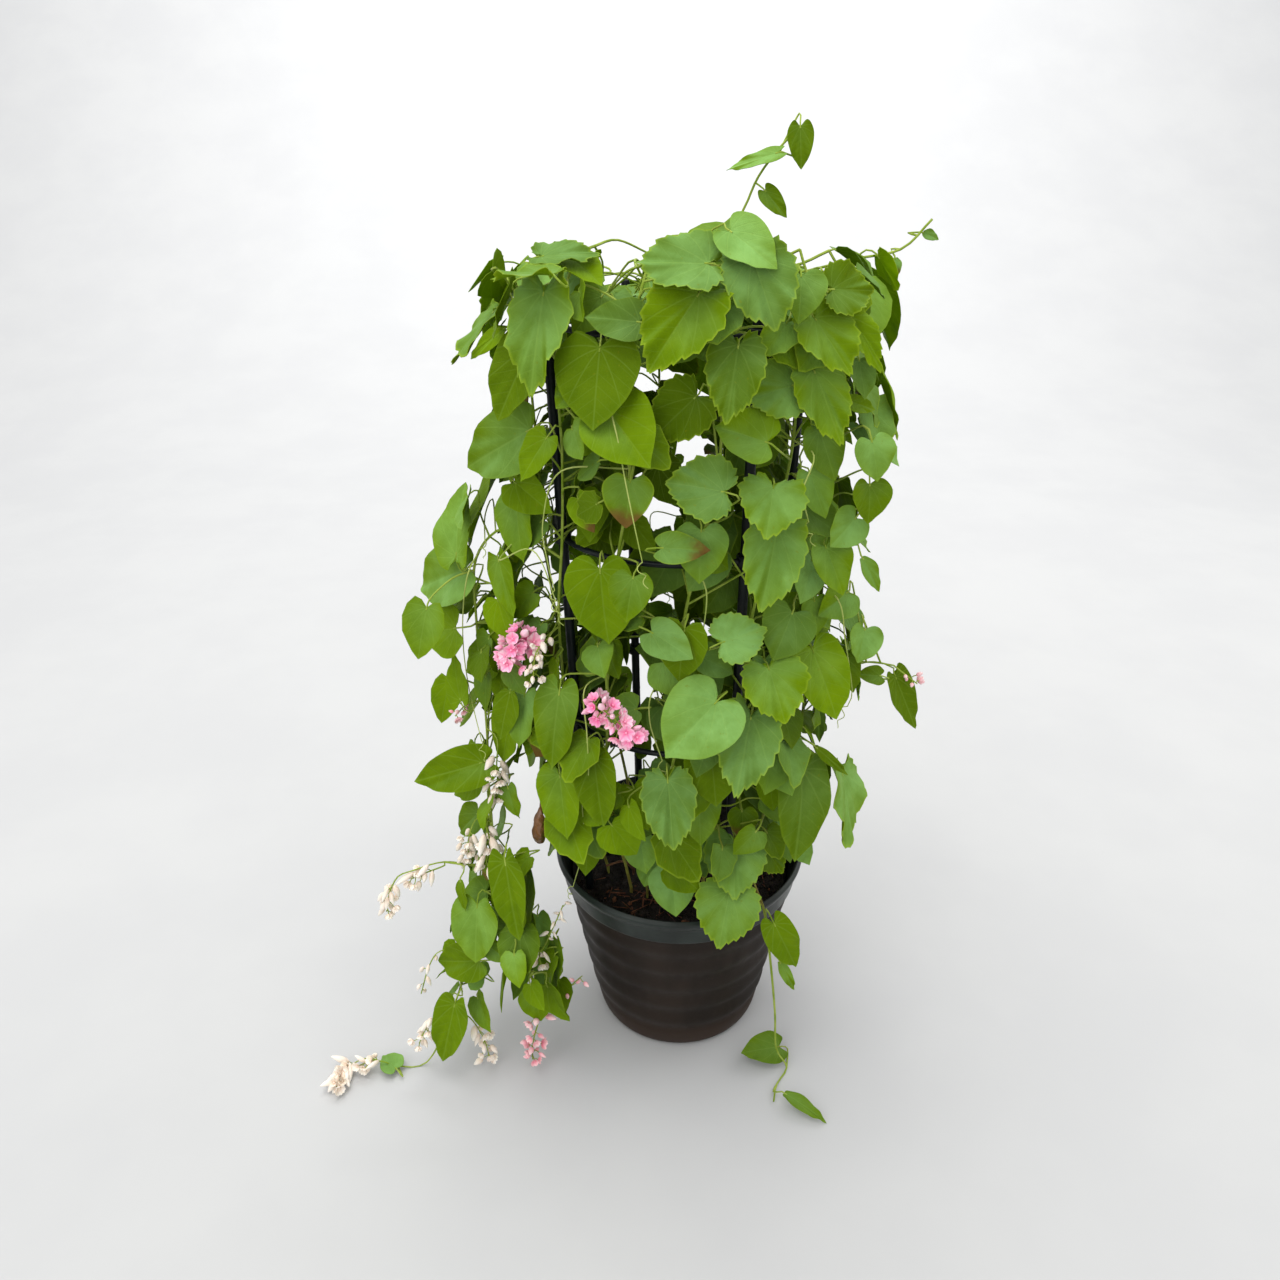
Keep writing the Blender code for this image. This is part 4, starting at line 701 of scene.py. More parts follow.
# all tubes of a piece as one mesh: each is (points, radii, material index), and each index has its own curve
def tubesMesh(tubes, sides=1):
    bm = bmesh.new()
    for slot in sorted({tube[2] for tube in tubes}):
        curve = bpy.data.curves.new("tubes", "CURVE")
        curve.dimensions = "3D"
        curve.bevel_depth = 0.001
        curve.bevel_resolution = sides
        curve.use_fill_caps = True
        for points, radii, own in tubes:
            if own == slot:
                line = curve.splines.new("POLY")
                line.points.add(len(points) - 1)
                for point, p, r in zip(line.points, points, radii):
                    point.co = (*p, 1.0)
                    point.radius = r / curve.bevel_depth
        holder = addObject("tubes", curve)
        mesh = bpy.data.meshes.new_from_object(holder.evaluated_get(bpy.context.evaluated_depsgraph_get()))
        bpy.data.objects.remove(holder, do_unlink=True)
        before = len(bm.faces)
        addMesh(bm, mesh)
        bm.faces.ensure_lookup_table()
        for face in bm.faces[before:]:
            face.material_index = slot
    bmesh.ops.remove_doubles(bm, verts=bm.verts, dist=0.000003)
    return meshFrom(bm, "tubes")


def tapered(path, thick, end=0.65):
    return [thick * (1.0 - (1.0 - end) * i / (len(path) - 1)) for i in range(len(path))]


# stems: each climbs from the soil inside the trellis and passes outside its rings
stem = {"radius": 0.0017, "standoff": 0.012, "root": 0.030, "step": 0.008, "petiole": 0.0010,
        "heights": (0.39, 0.46, 0.54, 0.62, 0.70, 0.78), "wander": 2.6, "coarse": 0.07, "sideCoarse": 0.05}
vinePaths = {name: [] for name in leafNodes}      # fine paths of a vine's stems
coarsePaths = {name: [] for name in leafNodes}    # the same stems with the model's own points


def addStem(name, points, thick, step, rooted=False):
    foot = []
    if rooted:
        foot, lift = [points[0].copy()], points[0].copy()
        foot[0].z = soil["top"] - stem["root"]
        lift.z = soil["top"] + 0.008
        points = [lift] + list(points[1:])
    coarsePaths[name].append(foot + smoothPath(points, step))
    path = foot + smoothPath(points, stem["step"])
    vinePaths[name].append((path, tapered(path, thick)))


def climber(name, footAngle, topAngle, footRadius, top, extra=()):
    points = [cyl(footAngle, footRadius, soil["top"]), cyl(footAngle, footRadius + 0.014, 0.262),
              cyl(footAngle, trellisAt(0.32) + 0.006, 0.322)]
    for i, z in enumerate(stem["heights"]):
        t = (i + 1) / len(stem["heights"])
        wander = stem["wander"] * math.sin(1.9 * i + footAngle)
        a = footAngle + (topAngle - footAngle) * t + wander
        points.append(cyl(a, trellisAt(z) + stem["standoff"], z))
    points.append(cyl(topAngle + 2, trellisAt(0.83) + 0.011, 0.828))
    points += list(extra) if extra else [cyl(topAngle + 4, trellisAt(0.83) - 0.006, top)]
    addStem(name, points, stem["radius"], stem["coarse"], rooted=True)


def branch(name, points, thick=stem["radius"] * 0.8, step=0.045):
    spots = [a.lerp(b, t / 4) for path in coarsePaths[name] for a, b in zip(path[1:], path[2:])
             for t in range(4)]
    addStem(name, [nearest(spots, points[0])] + list(points[1:]), thick, step)


def spotsOf(*rows):
    return [Vector(row) for row in rows]


rightShoot = spotsOf((0.146, 0.022, 0.842), (0.186, 0.0, 0.853), (0.210, -0.002, 0.877))
topShoot = spotsOf((0.062, 0.112, 0.845), (0.053, 0.082, 0.868), (0.061, 0.078, 0.889), (0.070, 0.078, 0.909),
                   (0.086, 0.078, 0.930), (0.101, 0.078, 0.945))
for row in (("vine_left", 196, 222, 0.084, 0.862), ("vine_front_left", 227, 251, 0.080, 0.858),
            ("vine_front", 258, 281, 0.078, 0.866), ("vine_front_right", 283, 310, 0.088, 0.862),
            ("vine_right", 313, 339, 0.086, 0.856), ("vine_back_right", 346, 371, 0.084, 0.86, rightShoot),
            ("vine_back_a", 38, 62, 0.082, 0.86, topShoot), ("vine_back_b", 76, 99, 0.086, 0.838),
            ("vine_back_left", 128, 152, 0.084, 0.838), ("vine_side_left", 160, 186, 0.086, 0.842)):
    climber(*row)
branch("vine_left", [cyl(209, 0.1365, 0.612), cyl(200, 0.170, 0.625), cyl(193, 0.200, 0.590),
                     cyl(191, 0.205, 0.52), cyl(191, 0.204, 0.44), cyl(191, 0.206, 0.36),
                     cyl(193, 0.213, 0.29)]
       + spotsOf((-0.218, -0.062, 0.215), (-0.236, -0.084, 0.130), (-0.262, -0.104, 0.055),
                 (-0.290, -0.116, 0.0035), (-0.322, -0.120, 0.0030), (-0.352, -0.110, 0.0030)),
       step=stem["sideCoarse"])
branch("vine_left", [cyl(192, 0.2095, 0.325)] + spotsOf((-0.196, -0.085, 0.275), (-0.183, -0.108, 0.20),
       (-0.166, -0.112, 0.138), (-0.158, -0.110, 0.075)), stem["radius"] * 0.7, stem["sideCoarse"])
branch("vine_left", spotsOf((-0.2165, -0.058, 0.235), (-0.250, -0.082, 0.262), (-0.286, -0.098, 0.262)),
       stem["radius"] * 0.6, stem["sideCoarse"])
branch("vine_right", [cyl(322, 0.1315, 0.478), cyl(330, 0.160, 0.482), cyl(336, 0.190, 0.492),
                      cyl(340, 0.214, 0.486)], stem["radius"] * 0.7)
for name, thick, points in (
        ("vine_trailing", 0.85, [cyl(304, 0.104, soil["top"]), cyl(303, 0.128, 0.246), cyl(302, 0.152, 0.239),
                                 cyl(302, 0.166, 0.19), cyl(306, 0.168, 0.10), cyl(309, 0.166, 0.035)]
         + spotsOf((0.118, -0.128, 0.0035), (0.104, -0.150, 0.0030), (0.098, -0.172, 0.0030))),
        ("sprout_a", 0.85, [cyl(286, 0.070, soil["top"]), cyl(288, 0.082, 0.245), cyl(290, 0.093, 0.300),
                            cyl(292, 0.097, 0.345)]),
        ("sprout_b", 0.8, [cyl(262, 0.058, soil["top"]), cyl(262, 0.066, 0.240), cyl(263, 0.080, 0.290)]),
        ("sprout_c", 0.8, [cyl(240, 0.074, soil["top"]), cyl(241, 0.082, 0.235), cyl(242, 0.090, 0.272)])):
    addStem(name, points, stem["radius"] * thick, stem["coarse"], rooted=True)
finePoints = {name: [p for path, radii in paths for p in path[2:]] for name, paths in vinePaths.items()}
print("stems")

# a leaf of the model may stand a little off its row: reach (mm), swing, lean, height (mm), size
nudges = [(0, 0, 0, 0, 1.0), (5, 0, 0, 0, 1.0), (-5, 0, 0, 0, 1.0), (8, 8, 4, 0, 1.0), (8, -8, 4, 0, 1.0),
          (12, 0, -6, 3, 1.0), (-9, 6, -6, -3, 1.0), (12, 12, 8, 4, 0.95), (12, -12, 8, -4, 0.95),
          (17, 0, 6, 0, 0.95), (-13, -8, -8, 4, 0.9), (20, 10, 10, -6, 0.9), (20, -10, 10, 6, 0.9),
          (5, 18, 12, 8, 0.85), (5, -18, 12, -8, 0.85), (24, 0, 14, 10, 0.85), (-8, 20, 0, -10, 0.8),
          (0, -22, 16, 10, 0.8), (26, 14, -4, -12, 0.8), (14, 25, -8, 12, 0.75), (14, -25, -8, -12, 0.75)]
leafDraw = random.Random(11)
toneDraw = random.Random(3)
placedLeaves = []     # (leaf, owner node, petiole points, tone)
lost = []
frontFacing = 265.0   # the angle that leaves turn towards


def onModel(point):
    return corners.find(point)[2] < 0.00008


# the stalk that the model gave this leaf: from the stem, behind the blade, into its notch
def petioleOf(leaf, owner):
    best = None
    for back in (0.008, 0.003, 0.015):
        knee = leaf.knee(0.010, back)
        for number, path in enumerate(coarsePaths[owner]):
            for i in range(2 if number == 0 else 1, len(path) - 1):
                for t in (0.0, 0.5):
                    root = path[i].lerp(path[i + 1], t)
                    miss = max(abs(surfaces[owner].find_nearest(root.lerp(knee, s))[3] - blade["thick"])
                               for s in (0.5, 0.75, 0.95))
                    if best is None or miss < best[0]:
                        best = (miss, root, knee)
    return [nearest(finePoints[owner], best[1]), best[2], leaf.stalkEnd()]


def leafTone(leaf, angleDegrees, inner=False):
    # leaves on the left and low down lean to olive, painted as lit through from behind; the rest of the blend
    # is random
    sunny = (0.55 if 175 < angleDegrees < 250 else 0.35) + (0.15 if leaf.base.z < 0.45 else 0.0)
    skySheenToOlive = sunny + toneDraw.uniform(-0.45, 0.60)
    # shade: a random darkening per leaf, and painted shade on inner leaves
    shade = 0.75 * toneDraw.random() ** 1.4 + (0.5 if inner else 0.0)
    dry = toneDraw.random() < 0.03
    return (skySheenToOlive, 2.0 if dry else 1.0 if leaf.kind == "t" else 0.0, min(1.0, shade))


def keepLeaf(leaf, owner, stalk, angleDegrees, inner=False):
    placedLeaves.append((leaf, owner, stalk, leafTone(leaf, angleDegrees, inner)))


def placeLeaf(angleDegrees, z, reachMm, length, breadth, swing, lean, kind, turn=0.5):
    length *= 1.04
    breadth *= 1.10
    fold = leafDraw.uniform(0.10, 0.34)
    droop = leafDraw.uniform(0.04, 0.16)
    wave = leafDraw.uniform(0.01, 0.035) if kind != "t" else leafDraw.uniform(0.02, 0.05)
    phase = leafDraw.uniform(0.0, 6.0)
    face = math.radians(angleDegrees + turn * (frontFacing - angleDegrees) if turn else angleDegrees)
    for dr, ds, dl, dz, scale in nudges:
        base = cyl(angleDegrees, (reachMm + dr) / 1000.0, (z + dz) / 1000.0)
        leaf = Leaf(base, face, math.radians(lean + dl), math.radians(swing + ds), length * scale / 1000.0,
                    breadth * scale / 1000.0, kind, (fold, droop, wave, phase))
        lift = leaf.normal * 0.0004
        if all(onModel(leaf.at(u, 0.0) + lift * sign) for u in (0.33, 0.66, 1.0) for sign in (1, -1)):
            owner = cornerOwner[corners.find(leaf.at(0.66, 0.0) + lift)[1]]
            keepLeaf(leaf, owner, petioleOf(leaf, owner), angleDegrees)
            return
    lost.append((angleDegrees, z))


# leaves seen from the front, the same rows as in the model, which come from bases, tips and widths read off
# the photo and taken through the camera: angle, height, reach, length, breadth (mm), swing, lean, kind
frontRows = [
    (229, 838, 170, 76, 46, 4, 35, "t"), (234, 842, 156, 56, 42, -95, 74, "t"),
    (221, 848, 138, 58, 38, 80, 70, "t"), (256, 820, 165, 42, 30, -97, 30, "s"),
    (271, 841, 170, 62, 52, -34, 30, "t"), (273, 861, 165, 50, 46, -93, 45, "t"),
    (282, 868, 150, 50, 20, -80, 60, "n"), (284, 863, 168, 50, 50, 18, 30, "t"),
    (279, 881, 150, 42, 38, 40, 40, "s"), (300, 849, 160, 36, 34, -11, 40, "s"),
    (308, 838, 170, 34, 38, 87, 30, "t"), (304, 818, 165, 48, 46, 26, 35, "t"),
    (314, 817, 180, 46, 24, 26, 30, "t"), (317, 784, 180, 30, 22, 0, 30, "n"),
    (305, 779, 165, 58, 42, 15, 30, "t"), (300, 771, 168, 38, 44, -84, 35, "t"),
    (281, 804, 170, 58, 40, -11, 35, "t"), (220, 795, 165, 64, 44, -21, 20, "s"),
    (209, 804, 170, 44, 14, -54, 20, "n"), (245, 800, 165, 60, 62, 1, 30, "s"),
    (248, 757, 180, 52, 52, 36, 40, "s"), (241, 765, 170, 36, 38, -16, 30, "s"),
    (271, 763, 152, 44, 44, -47, 20, "t"), (290, 729, 170, 42, 44, -113, 40, "s"),
    (278, 694, 175, 44, 50, -104, 40, "t"), (217, 725, 165, 74, 54, -59, 15, "s"),
    (228, 726, 172, 40, 28, -27, 30, "s"), (204, 670, 165, 46, 36, 67, 25, "s"),
    (191, 591, 218, 68, 44, -164, 20, "s"), (190, 576, 205, 78, 58, -61, 20, "s"),
    (192, 518, 226, 54, 52, -69, 15, "s"), (191, 486, 194, 58, 42, -52, 15, "s"),
    (193, 440, 228, 46, 32, -150, 15, "s"), (196.5, 372, 213, 76, 44, -71, 20, "s", 1.0),
    (191, 338, 206, 50, 34, -45, 20, "s"), (199, 594, 182, 54, 27, 32, 20, "s"),
    (203, 652, 165, 54, 38, 15, 15, "s"), (253, 699, 165, 36, 38, -3, 25, "s"),
    (262, 648, 175, 38, 25, 90, 40, "s"), (254, 619, 170, 36, 34, -6, 30, "s"),
    (241, 614, 155, 66, 56, 6, 10, "s"), (227, 490, 170, 74, 40, -2, 20, "s"),
    (209, 465, 175, 54, 36, -2, 20, "s"), (196, 427, 178, 60, 38, -6, 20, "s"),
    (293, 692, 168, 44, 50, -17, 52, "t"), (294, 658, 172, 66, 48, -16, 30, "t"),
    (273, 658, 160, 42, 40, -2, 25, "s"), (259, 570, 170, 40, 32, 61, 40, "s"),
    (262, 535, 155, 38, 40, 43, 15, "s"), (279, 563, 175, 38, 42, 107, 45, "t"),
    (293, 532, 175, 48, 52, 11, 40, "t"), (303, 574, 165, 44, 46, -30, 30, "s"),
    (311, 532, 170, 64, 50, 12, 30, "s"), (326, 509, 178, 36, 24, 13, 20, "s"),
    (277, 512, 185, 62, 62, -44, 40, "s"), (287, 500, 178, 80, 62, 1, 35, "t"),
    (316, 724, 200, 32, 34, 7, 20, "s"), (317, 687, 200, 31, 34, -5, 20, "s"),
    (317, 656, 190, 32, 33, -51, 20, "s"), (318, 621, 198, 34, 14, 26, 20, "n"),
    (322, 580, 180, 34, 34, -62, 20, "s"), (330, 536, 190, 31, 36, -22, 20, "s"),
    (334, 484, 206, 24, 18, -110, 40, "s"), (340, 474, 212, 58, 30, 16, 20, "s"),
    (312, 433, 180, 44, 10, 43, 20, "n"), (311, 632, 175, 44, 34, 17, 25, "s"),
    (306, 697, 165, 40, 30, 19, 15, "s"), (307, 732, 170, 42, 34, 18, 15, "s"),
    (315, 752, 180, 22, 14, 70, 30, "s"), (277, 451, 165, 50, 46, 5, 30, "s"),
    (264, 428, 170, 60, 44, 15, 30, "t"), (274, 401, 155, 52, 36, 2, 25, "s"),
    (310, 407, 172, 84, 48, -13, 30, "s"), (225, 396, 170, 62, 42, 13, 20, "s"),
    (239, 427, 165, 64, 38, 10, 20, "s"), (201, 346, 192, 32, 23, 33, 20, "s"),
    (191, 295, 222, 44, 32, -37, 20, "s"), (293, 358, 140, 26, 28, -5, 40, "s"),
    (306, 301, 136, 34, 34, 28, 35, "t"), (290, 325, 140, 54, 56, -7, 45, "t"),
    (285, 284, 164, 52, 58, -16, 45, "t"), (264, 280, 122, 44, 44, 8, 40, "s"),
    (247, 303, 112, 32, 35, 18, 40, "s"), (266, 327, 114, 42, 44, 14, 35, "s"),
    (252, 274, 104, 26, 26, -10, 50, "s"), (300, 238, 178, 62, 30, 23, 10, "s"),
    (303, 184, 180, 44, 11, 23, 10, "n"),
]
# leaves of the hanging branch: base point, facing, lean, swing, length, breadth
hangingRows = [
    ((-0.180, -0.120, 0.292), 250, 15, 12, 84, 36, "s"), ((-0.216, -0.104, 0.222), 245, 20, 4, 62, 52, "s"),
    ((-0.222, -0.120, 0.158), 245, 22, -70, 56, 42, "s"),
    ((-0.246, -0.130, 0.108), 250, 15, -10, 74, 38, "s"),
    ((-0.160, -0.122, 0.118), 262, 25, 12, 34, 34, "s"),
    ((-0.232, -0.098, 0.250), 240, 15, 12, 34, 12, "n"),
    ((-0.205, -0.118, 0.178), 260, 25, 60, 26, 20, "s"),
]
# leaves on the floor, then those of the free shoots: as the front ones
looseRows = [
    (201.5, 7, 338, 28, 24, -60, 78, "s", 0.01), (316, 9, 168, 50, 40, -112, 80, "s", 0.01),
    (303, 8, 190, 52, 17, 8, 80, "n", 0.01), (40, 931, 121, 46, 15, -78, 50, "s", 1.0),
    (36, 949, 130, 34, 22, 4, 15, "s", 1.0), (46, 897, 110, 30, 17, 42, 20, "s", 1.0),
    (0, 846, 182, 15, 9, 10, 30, "n", 1.0), (0, 866, 196, 14, 9, 60, 30, "n", 1.0),
]
for row in frontRows:
    placeLeaf(*row)
for point, facing, lean, swing, length, breadth, kind in hangingRows:
    a = angleOf(point) % 360
    placeLeaf(a, point[2] * 1000, math.hypot(point[0], point[1]) * 1000, length, breadth, swing, lean, kind,
              (facing - a) / (frontFacing - a))
for row in looseRows:
    placeLeaf(*row)
for middle in (358, 50, 88, 140, 173):      # leaves behind, by rule
    for k in range(6):
        isTop = k == 5
        z = 352 + 99 * k + leafDraw.uniform(-16, 16) - (24 if isTop else 0)
        lean = leafDraw.uniform(14, 40) + (18 if isTop else 0)
        offset = (10 if k % 2 else -12) + leafDraw.uniform(-4, 4) + (k - 3) * 3.2
        length = leafDraw.uniform(54, 74)
        kind = "t" if leafDraw.random() < 0.3 else "s"
        reach = leafDraw.uniform(156, 178)
        breadth = length * leafDraw.uniform(0.76, 0.92)
        placeLeaf(middle + offset, z, reach, length, breadth, leafDraw.uniform(-32, 32), lean, kind, 0)
foundCount = len(placedLeaves)
print("leaves found on the model:", foundCount, "lost:", lost)

# smaller leaves, each clear of every solid and of the others; angles are ranges in degrees
filling = {"seed": 21, "length": (0.030, 0.056), "breadth": (0.85, 1.05), "fold": (0.1, 0.3),
           "wave": (0.01, 0.04), "phase": (0, 6), "bow": ((-0.16, 0.16), (-0.16, 0.16), (-0.05, 0.22))}
fillDraw = random.Random(filling["seed"])
fillTrees = []


# a stalk with a slight bow between its root and the knee behind the blade
def bowed(root, knee, end):
    bow = Vector([fillDraw.uniform(*side) for side in filling["bow"]]) * (knee - root).length
    return [root, root.lerp(knee, 0.45) + bow, knee, end]


def drawBend(droop):
    ranges = (filling["fold"], droop, filling["wave"], filling["phase"])
    return tuple(fillDraw.uniform(*limits) for limits in ranges)


def drawLeaf(base, facing, look, toothed):
    length = fillDraw.uniform(*filling["length"])
    kind = "t" if fillDraw.random() < toothed else "s"
    face = math.radians(facing + fillDraw.uniform(*look["face"]))
    lean = math.radians(fillDraw.uniform(*look["lean"]))
    swing = math.radians(fillDraw.uniform(*look["swing"]))
    breadth = length * fillDraw.uniform(*filling["breadth"])
    return Leaf(base, face, lean, swing, length, breadth, kind, drawBend(look["droop"]))


# balls around the flowers and the withered leaf that stay free of small leaves
keepClear = []
for name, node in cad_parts.items():
    if name.startswith(("blossom", "buds", "spray", "withered")):
        spots = [v.co for v in node.data.vertices]
        middle = sum(spots, Vector()) / len(spots)
        keepClear.append((middle + Vector((0.0, -0.020, 0.012)),
                          0.034 if name.startswith(("blossom", "withered")) else 0.028))

# lines of sight that stay open, as in the photo: to parts of stakes (angle, from, to), rings (height, from,
# to) and soil (angle, reach), and right through the gaps of the foliage
sight = {"apart": 0.009, "sides": (-0.005, 0.0, 0.005), "short": 0.004, "past": 9.0,
         "grid": (-0.9, -0.3, 0.3, 0.9)}
viewer = Vector(view["place"])
openLines = []


def keepOpen(point):
    way = point - viewer
    openLines.append((way.normalized(), way.length - sight["short"]))


for angle, low, high in ((204, 0.440, 0.770), (294, 0.312, 0.372), (294, 0.552, 0.724), (114, 0.360, 0.410),
                         (114, 0.585, 0.612), (24, 0.636, 0.700)):
    for k in range(round((high - low) / sight["apart"]) + 1):
        for side in sight["sides"]:
            keepOpen(onTrellis(angle, low + sight["apart"] * k) + Vector((side, 0.0, 0.0)))
for ringZ, first, last in ((0.612, 213, 247), (0.612, 298, 312), (0.415, 203, 267)):
    for angle in range(first, last, 3):
        keepOpen(onTrellis(angle, ringZ))
for angle, reach in ((205, 0.112), (215, 0.100), (222, 0.112), (230, 0.095), (240, 0.108), (250, 0.095),
                     (262, 0.105), (235, 0.060), (205, 0.075), (180, 0.060), (150, 0.050), (300, 0.100),
                     (312, 0.110), (110, 0.055), (190, 0.095), (250, 0.070), (325, 0.105)):
    keepOpen(cyl(angle, reach, soil["top"]))
# gaps in the foliage, read off the photo: middle (across, down), half width, half height in pixels
gapsSeen = {
    "crownNotch": (630, 265, 18, 16), "overCrownRight": (806, 256, 22, 12),
    "besideStake": (562, 382, 7, 12), "underCrown": (648, 380, 7, 10),
    "underCrownRight": (703, 382, 10, 10), "upperMiddle": (693, 450, 9, 12), "leftEdge": (480, 385, 9, 34),
    "leftOverLeaf": (522, 416, 16, 5), "leftUnderLeaf": (482, 487, 18, 7), "leftStems": (490, 533, 8, 16),
    "leftStemsLow": (465, 555, 9, 6), "overMiddleRing": (664, 514, 9, 7),
    "underMiddleRing": (585, 564, 9, 5), "underRingRight": (615, 572, 4, 7), "middle": (665, 608, 8, 7),
    "byStakeHigh": (531, 563, 6, 9), "byStake": (547, 600, 5, 22), "leftSquare": (462, 633, 14, 18),
    "byBackStake": (646, 680, 5, 11), "underBlossom": (620, 768, 13, 12), "leftLow": (480, 725, 8, 14),
    "leftOfWithered": (527, 786, 10, 20), "underSpray": (525, 832, 9, 16), "rightHigh": (817, 473, 5, 9),
    "rightEdgeHigh": (846, 464, 7, 22), "rightEdge": (853, 560, 6, 18), "rightEdgeLow": (839, 622, 5, 14),
    "byRing": (805, 698, 5, 9), "rightOutside": (838, 735, 14, 24), "rightOutsideLow": (832, 820, 8, 34)}


# direction from the viewer to a place in the photo
def sightTo(across, down):
    focal, half = view["focal"] / view["sensor"] * view["picture"], view["picture"] / 2
    way = Vector(((across - half) / focal, (half - down) / focal, -1.0))
    return (camera.matrix_world.to_3x3() @ way).normalized()


for across, down, wide, high in gapsSeen.values():
    for i in sight["grid"]:
        for j in sight["grid"]:
            openLines.append((sightTo(across + wide * i, down + high * j), sight["past"]))


def isFree(leaf, petiole):
    midrib = [leaf.at(u, 0.0) for u in (0.15, 0.55, 0.95)]
    if any((p - middle).length < radius for middle, radius in keepClear for p in midrib):
        return False
    rim = outline("f" if leaf.kind != "n" else "n", 0.0)[::4]
    verts = [leaf.at(u, v) + leaf.normal * 0.0008 * sign for sign in (1, -1) for u, v in [(0.35, 0.0)] + rim]
    n = len(rim) + 1
    faces = [(m, m + i, m + i + 1) for m in (0, n) for i in range(1, n - 1)]
    tree = BVHTree.FromPolygons(verts, faces)
    if tree.overlap(solids) or any(tree.overlap(other) for other in fillTrees):
        return False
    if any(tree.ray_cast(viewer, way, far)[0] is not None for way, far in openLines):
        return False
    for a, b in zip(petiole, petiole[1:]):
        away = b - a
        way = away.normalized()
        if solids.ray_cast(a + way * 0.005, way, max(0.001, away.length - 0.006))[0] is not None:
            return False
    fillTrees.append(tree)
    return True


# thin shoots that lean inwards over the top ring, where they meet nothing, and small leaves on them; tops are
# the crown's greatest heights from left to right, each up to its x, and they fall to the back
crown = {"leaves": 95, "tries": 5200, "perStem": 24, "toothed": 0.5, "stalk": (0.006, 0.05), "tall": 0.87,
         "face": (200, 330), "lean": (35, 80), "swing": (-90, 90), "droop": (0.08, 0.22),
         "tops": ((-0.05, 0.842), (0.01, 0.860), (0.06, 0.876), (9.0, 0.842)), "fall": 0.1,
         "edge": ((-0.1, 0.5), (-0.1, -0.5), (0.3, 1.0), (0.3, -1.0), (1.0, 0.0))}


def underCrown(point):
    high = next(top for limit, top in crown["tops"] if point.x < limit)
    return point.z < high - crown["fall"] * point.y


crownPoints = []
for owner in climbing:
    root = vinePaths[owner][0][0][-1]
    if root.z > crown["tall"]:
        root = nearest(finePoints[owner], cyl(angleOf(root), 0.128, 0.850))
    a = angleOf(root)
    for k in range(crown["perStem"]):
        bend = (1 if k % 2 else -1) * fillDraw.uniform(10, 40)
        high = root.z + fillDraw.uniform(-0.012, 0.008)
        path = smoothPath([root, cyl(a + bend * 0.4, 0.098, high), cyl(a + bend, 0.066, high + 0.002),
                           cyl(a + bend * 1.8, fillDraw.uniform(0.014, 0.040), high - 0.012)], 0.008)
        if all(solids.find_nearest(p)[3] > 0.003 for p in path[2:]):
            vinePaths[owner].append((path, tapered(path, stem["radius"] * 0.75)))
            crownPoints += [(p, owner) for p in path[2:]]
            break
for k in range(crown["tries"]):
    if len(fillTrees) == crown["leaves"]:
        break
    root, owner = fillDraw.choice(crownPoints)
    a = angleOf(root) + fillDraw.uniform(-30, 30)
    base = cyl(a, max(0.010, math.hypot(root.x, root.y) + fillDraw.uniform(-0.020, 0.026)),
               root.z + fillDraw.uniform(-0.030, 0.016))
    leaf = drawLeaf(base, 0.0, crown, crown["toothed"])
    stalk = bowed(root, leaf.knee(), leaf.stalkEnd())
    shortest, longest = crown["stalk"]
    if (all(underCrown(leaf.at(u, v)) for u, v in crown["edge"])
            and shortest < (root - leaf.knee()).length < longest and isFree(leaf, stalk)):
        keepLeaf(leaf, owner, stalk, a)
print("leaves over the crown:", len(fillTrees))

# single leaves that show in the photo, read off it: place (across, down) in pixels, length, breadth (mm),
# swing, kind
leavesSeen = {
    "roundLeft": (423, 632, 50, 46, -20, "s"), "youngLeft": (442, 705, 48, 34, 8, "s"),
    "longLeft": (501, 715, 58, 30, 10, "n"), "underBlossomLeft": (520, 682, 26, 22, 0, "s"),
    "thinLeft": (529, 591, 28, 18, 0, "n"), "behindMiddle": (695, 540, 56, 40, 0, "s"),
    "byFrontStake": (721, 600, 44, 42, 20, "s"), "driedMiddle": (699, 638, 32, 22, 0, "n"),
    "darkMiddle": (661, 678, 40, 36, 0, "s"), "darkByStake": (595, 656, 40, 36, 10, "s"),
    "youngRight": (847, 660, 26, 20, 30, "s"), "narrowRight": (817, 725, 42, 16, 5, "n")}
single = {"tries": 700, "far": (0.75, 1.40), "jitter": (-0.005, 0.005), "reach": 0.075,
          "stalk": (0.008, 0.080), "droop": (0.04, 0.16), "face": (-30, 30), "lean": (10, 45),
          "swing": (-25, 25)}
spots, spotOwners = searchTree([(p, name) for name in climbing for p in finePoints[name]])
spotsFilled = 0
for across, down, length, breadth, swing, kind in leavesSeen.values():
    for k in range(single["tries"]):
        centre = viewer + sightTo(across, down) * fillDraw.uniform(*single["far"])
        centre += Vector((fillDraw.uniform(*single["jitter"]), 0.0, fillDraw.uniform(*single["jitter"])))
        i, far = spots.find(centre)[1:]
        if far > single["reach"]:
            continue
        bend = drawBend(single["droop"])
        face = math.radians(265 + fillDraw.uniform(*single["face"]))
        lean = math.radians(fillDraw.uniform(*single["lean"]))
        leaf = Leaf(centre, face, lean, math.radians(swing + fillDraw.uniform(*single["swing"])),
                    length / 1000.0, breadth / 1000.0, kind, bend)
        leaf.base = centre - leaf.tip * (leaf.length * 0.45)
        knee = leaf.knee()
        root = spots.find(knee + Vector((0.0, 0.0, 0.012)))[0]
        stalk = bowed(root, knee, leaf.stalkEnd())
        if single["stalk"][0] < (root - knee).length < single["stalk"][1] and isFree(leaf, stalk):
            keepLeaf(leaf, spotOwners[i], stalk, angleOf(root) % 360)
            spotsFilled += 1
            break
print("leaves in places of their own:", spotsFilled, "of", len(leavesSeen))

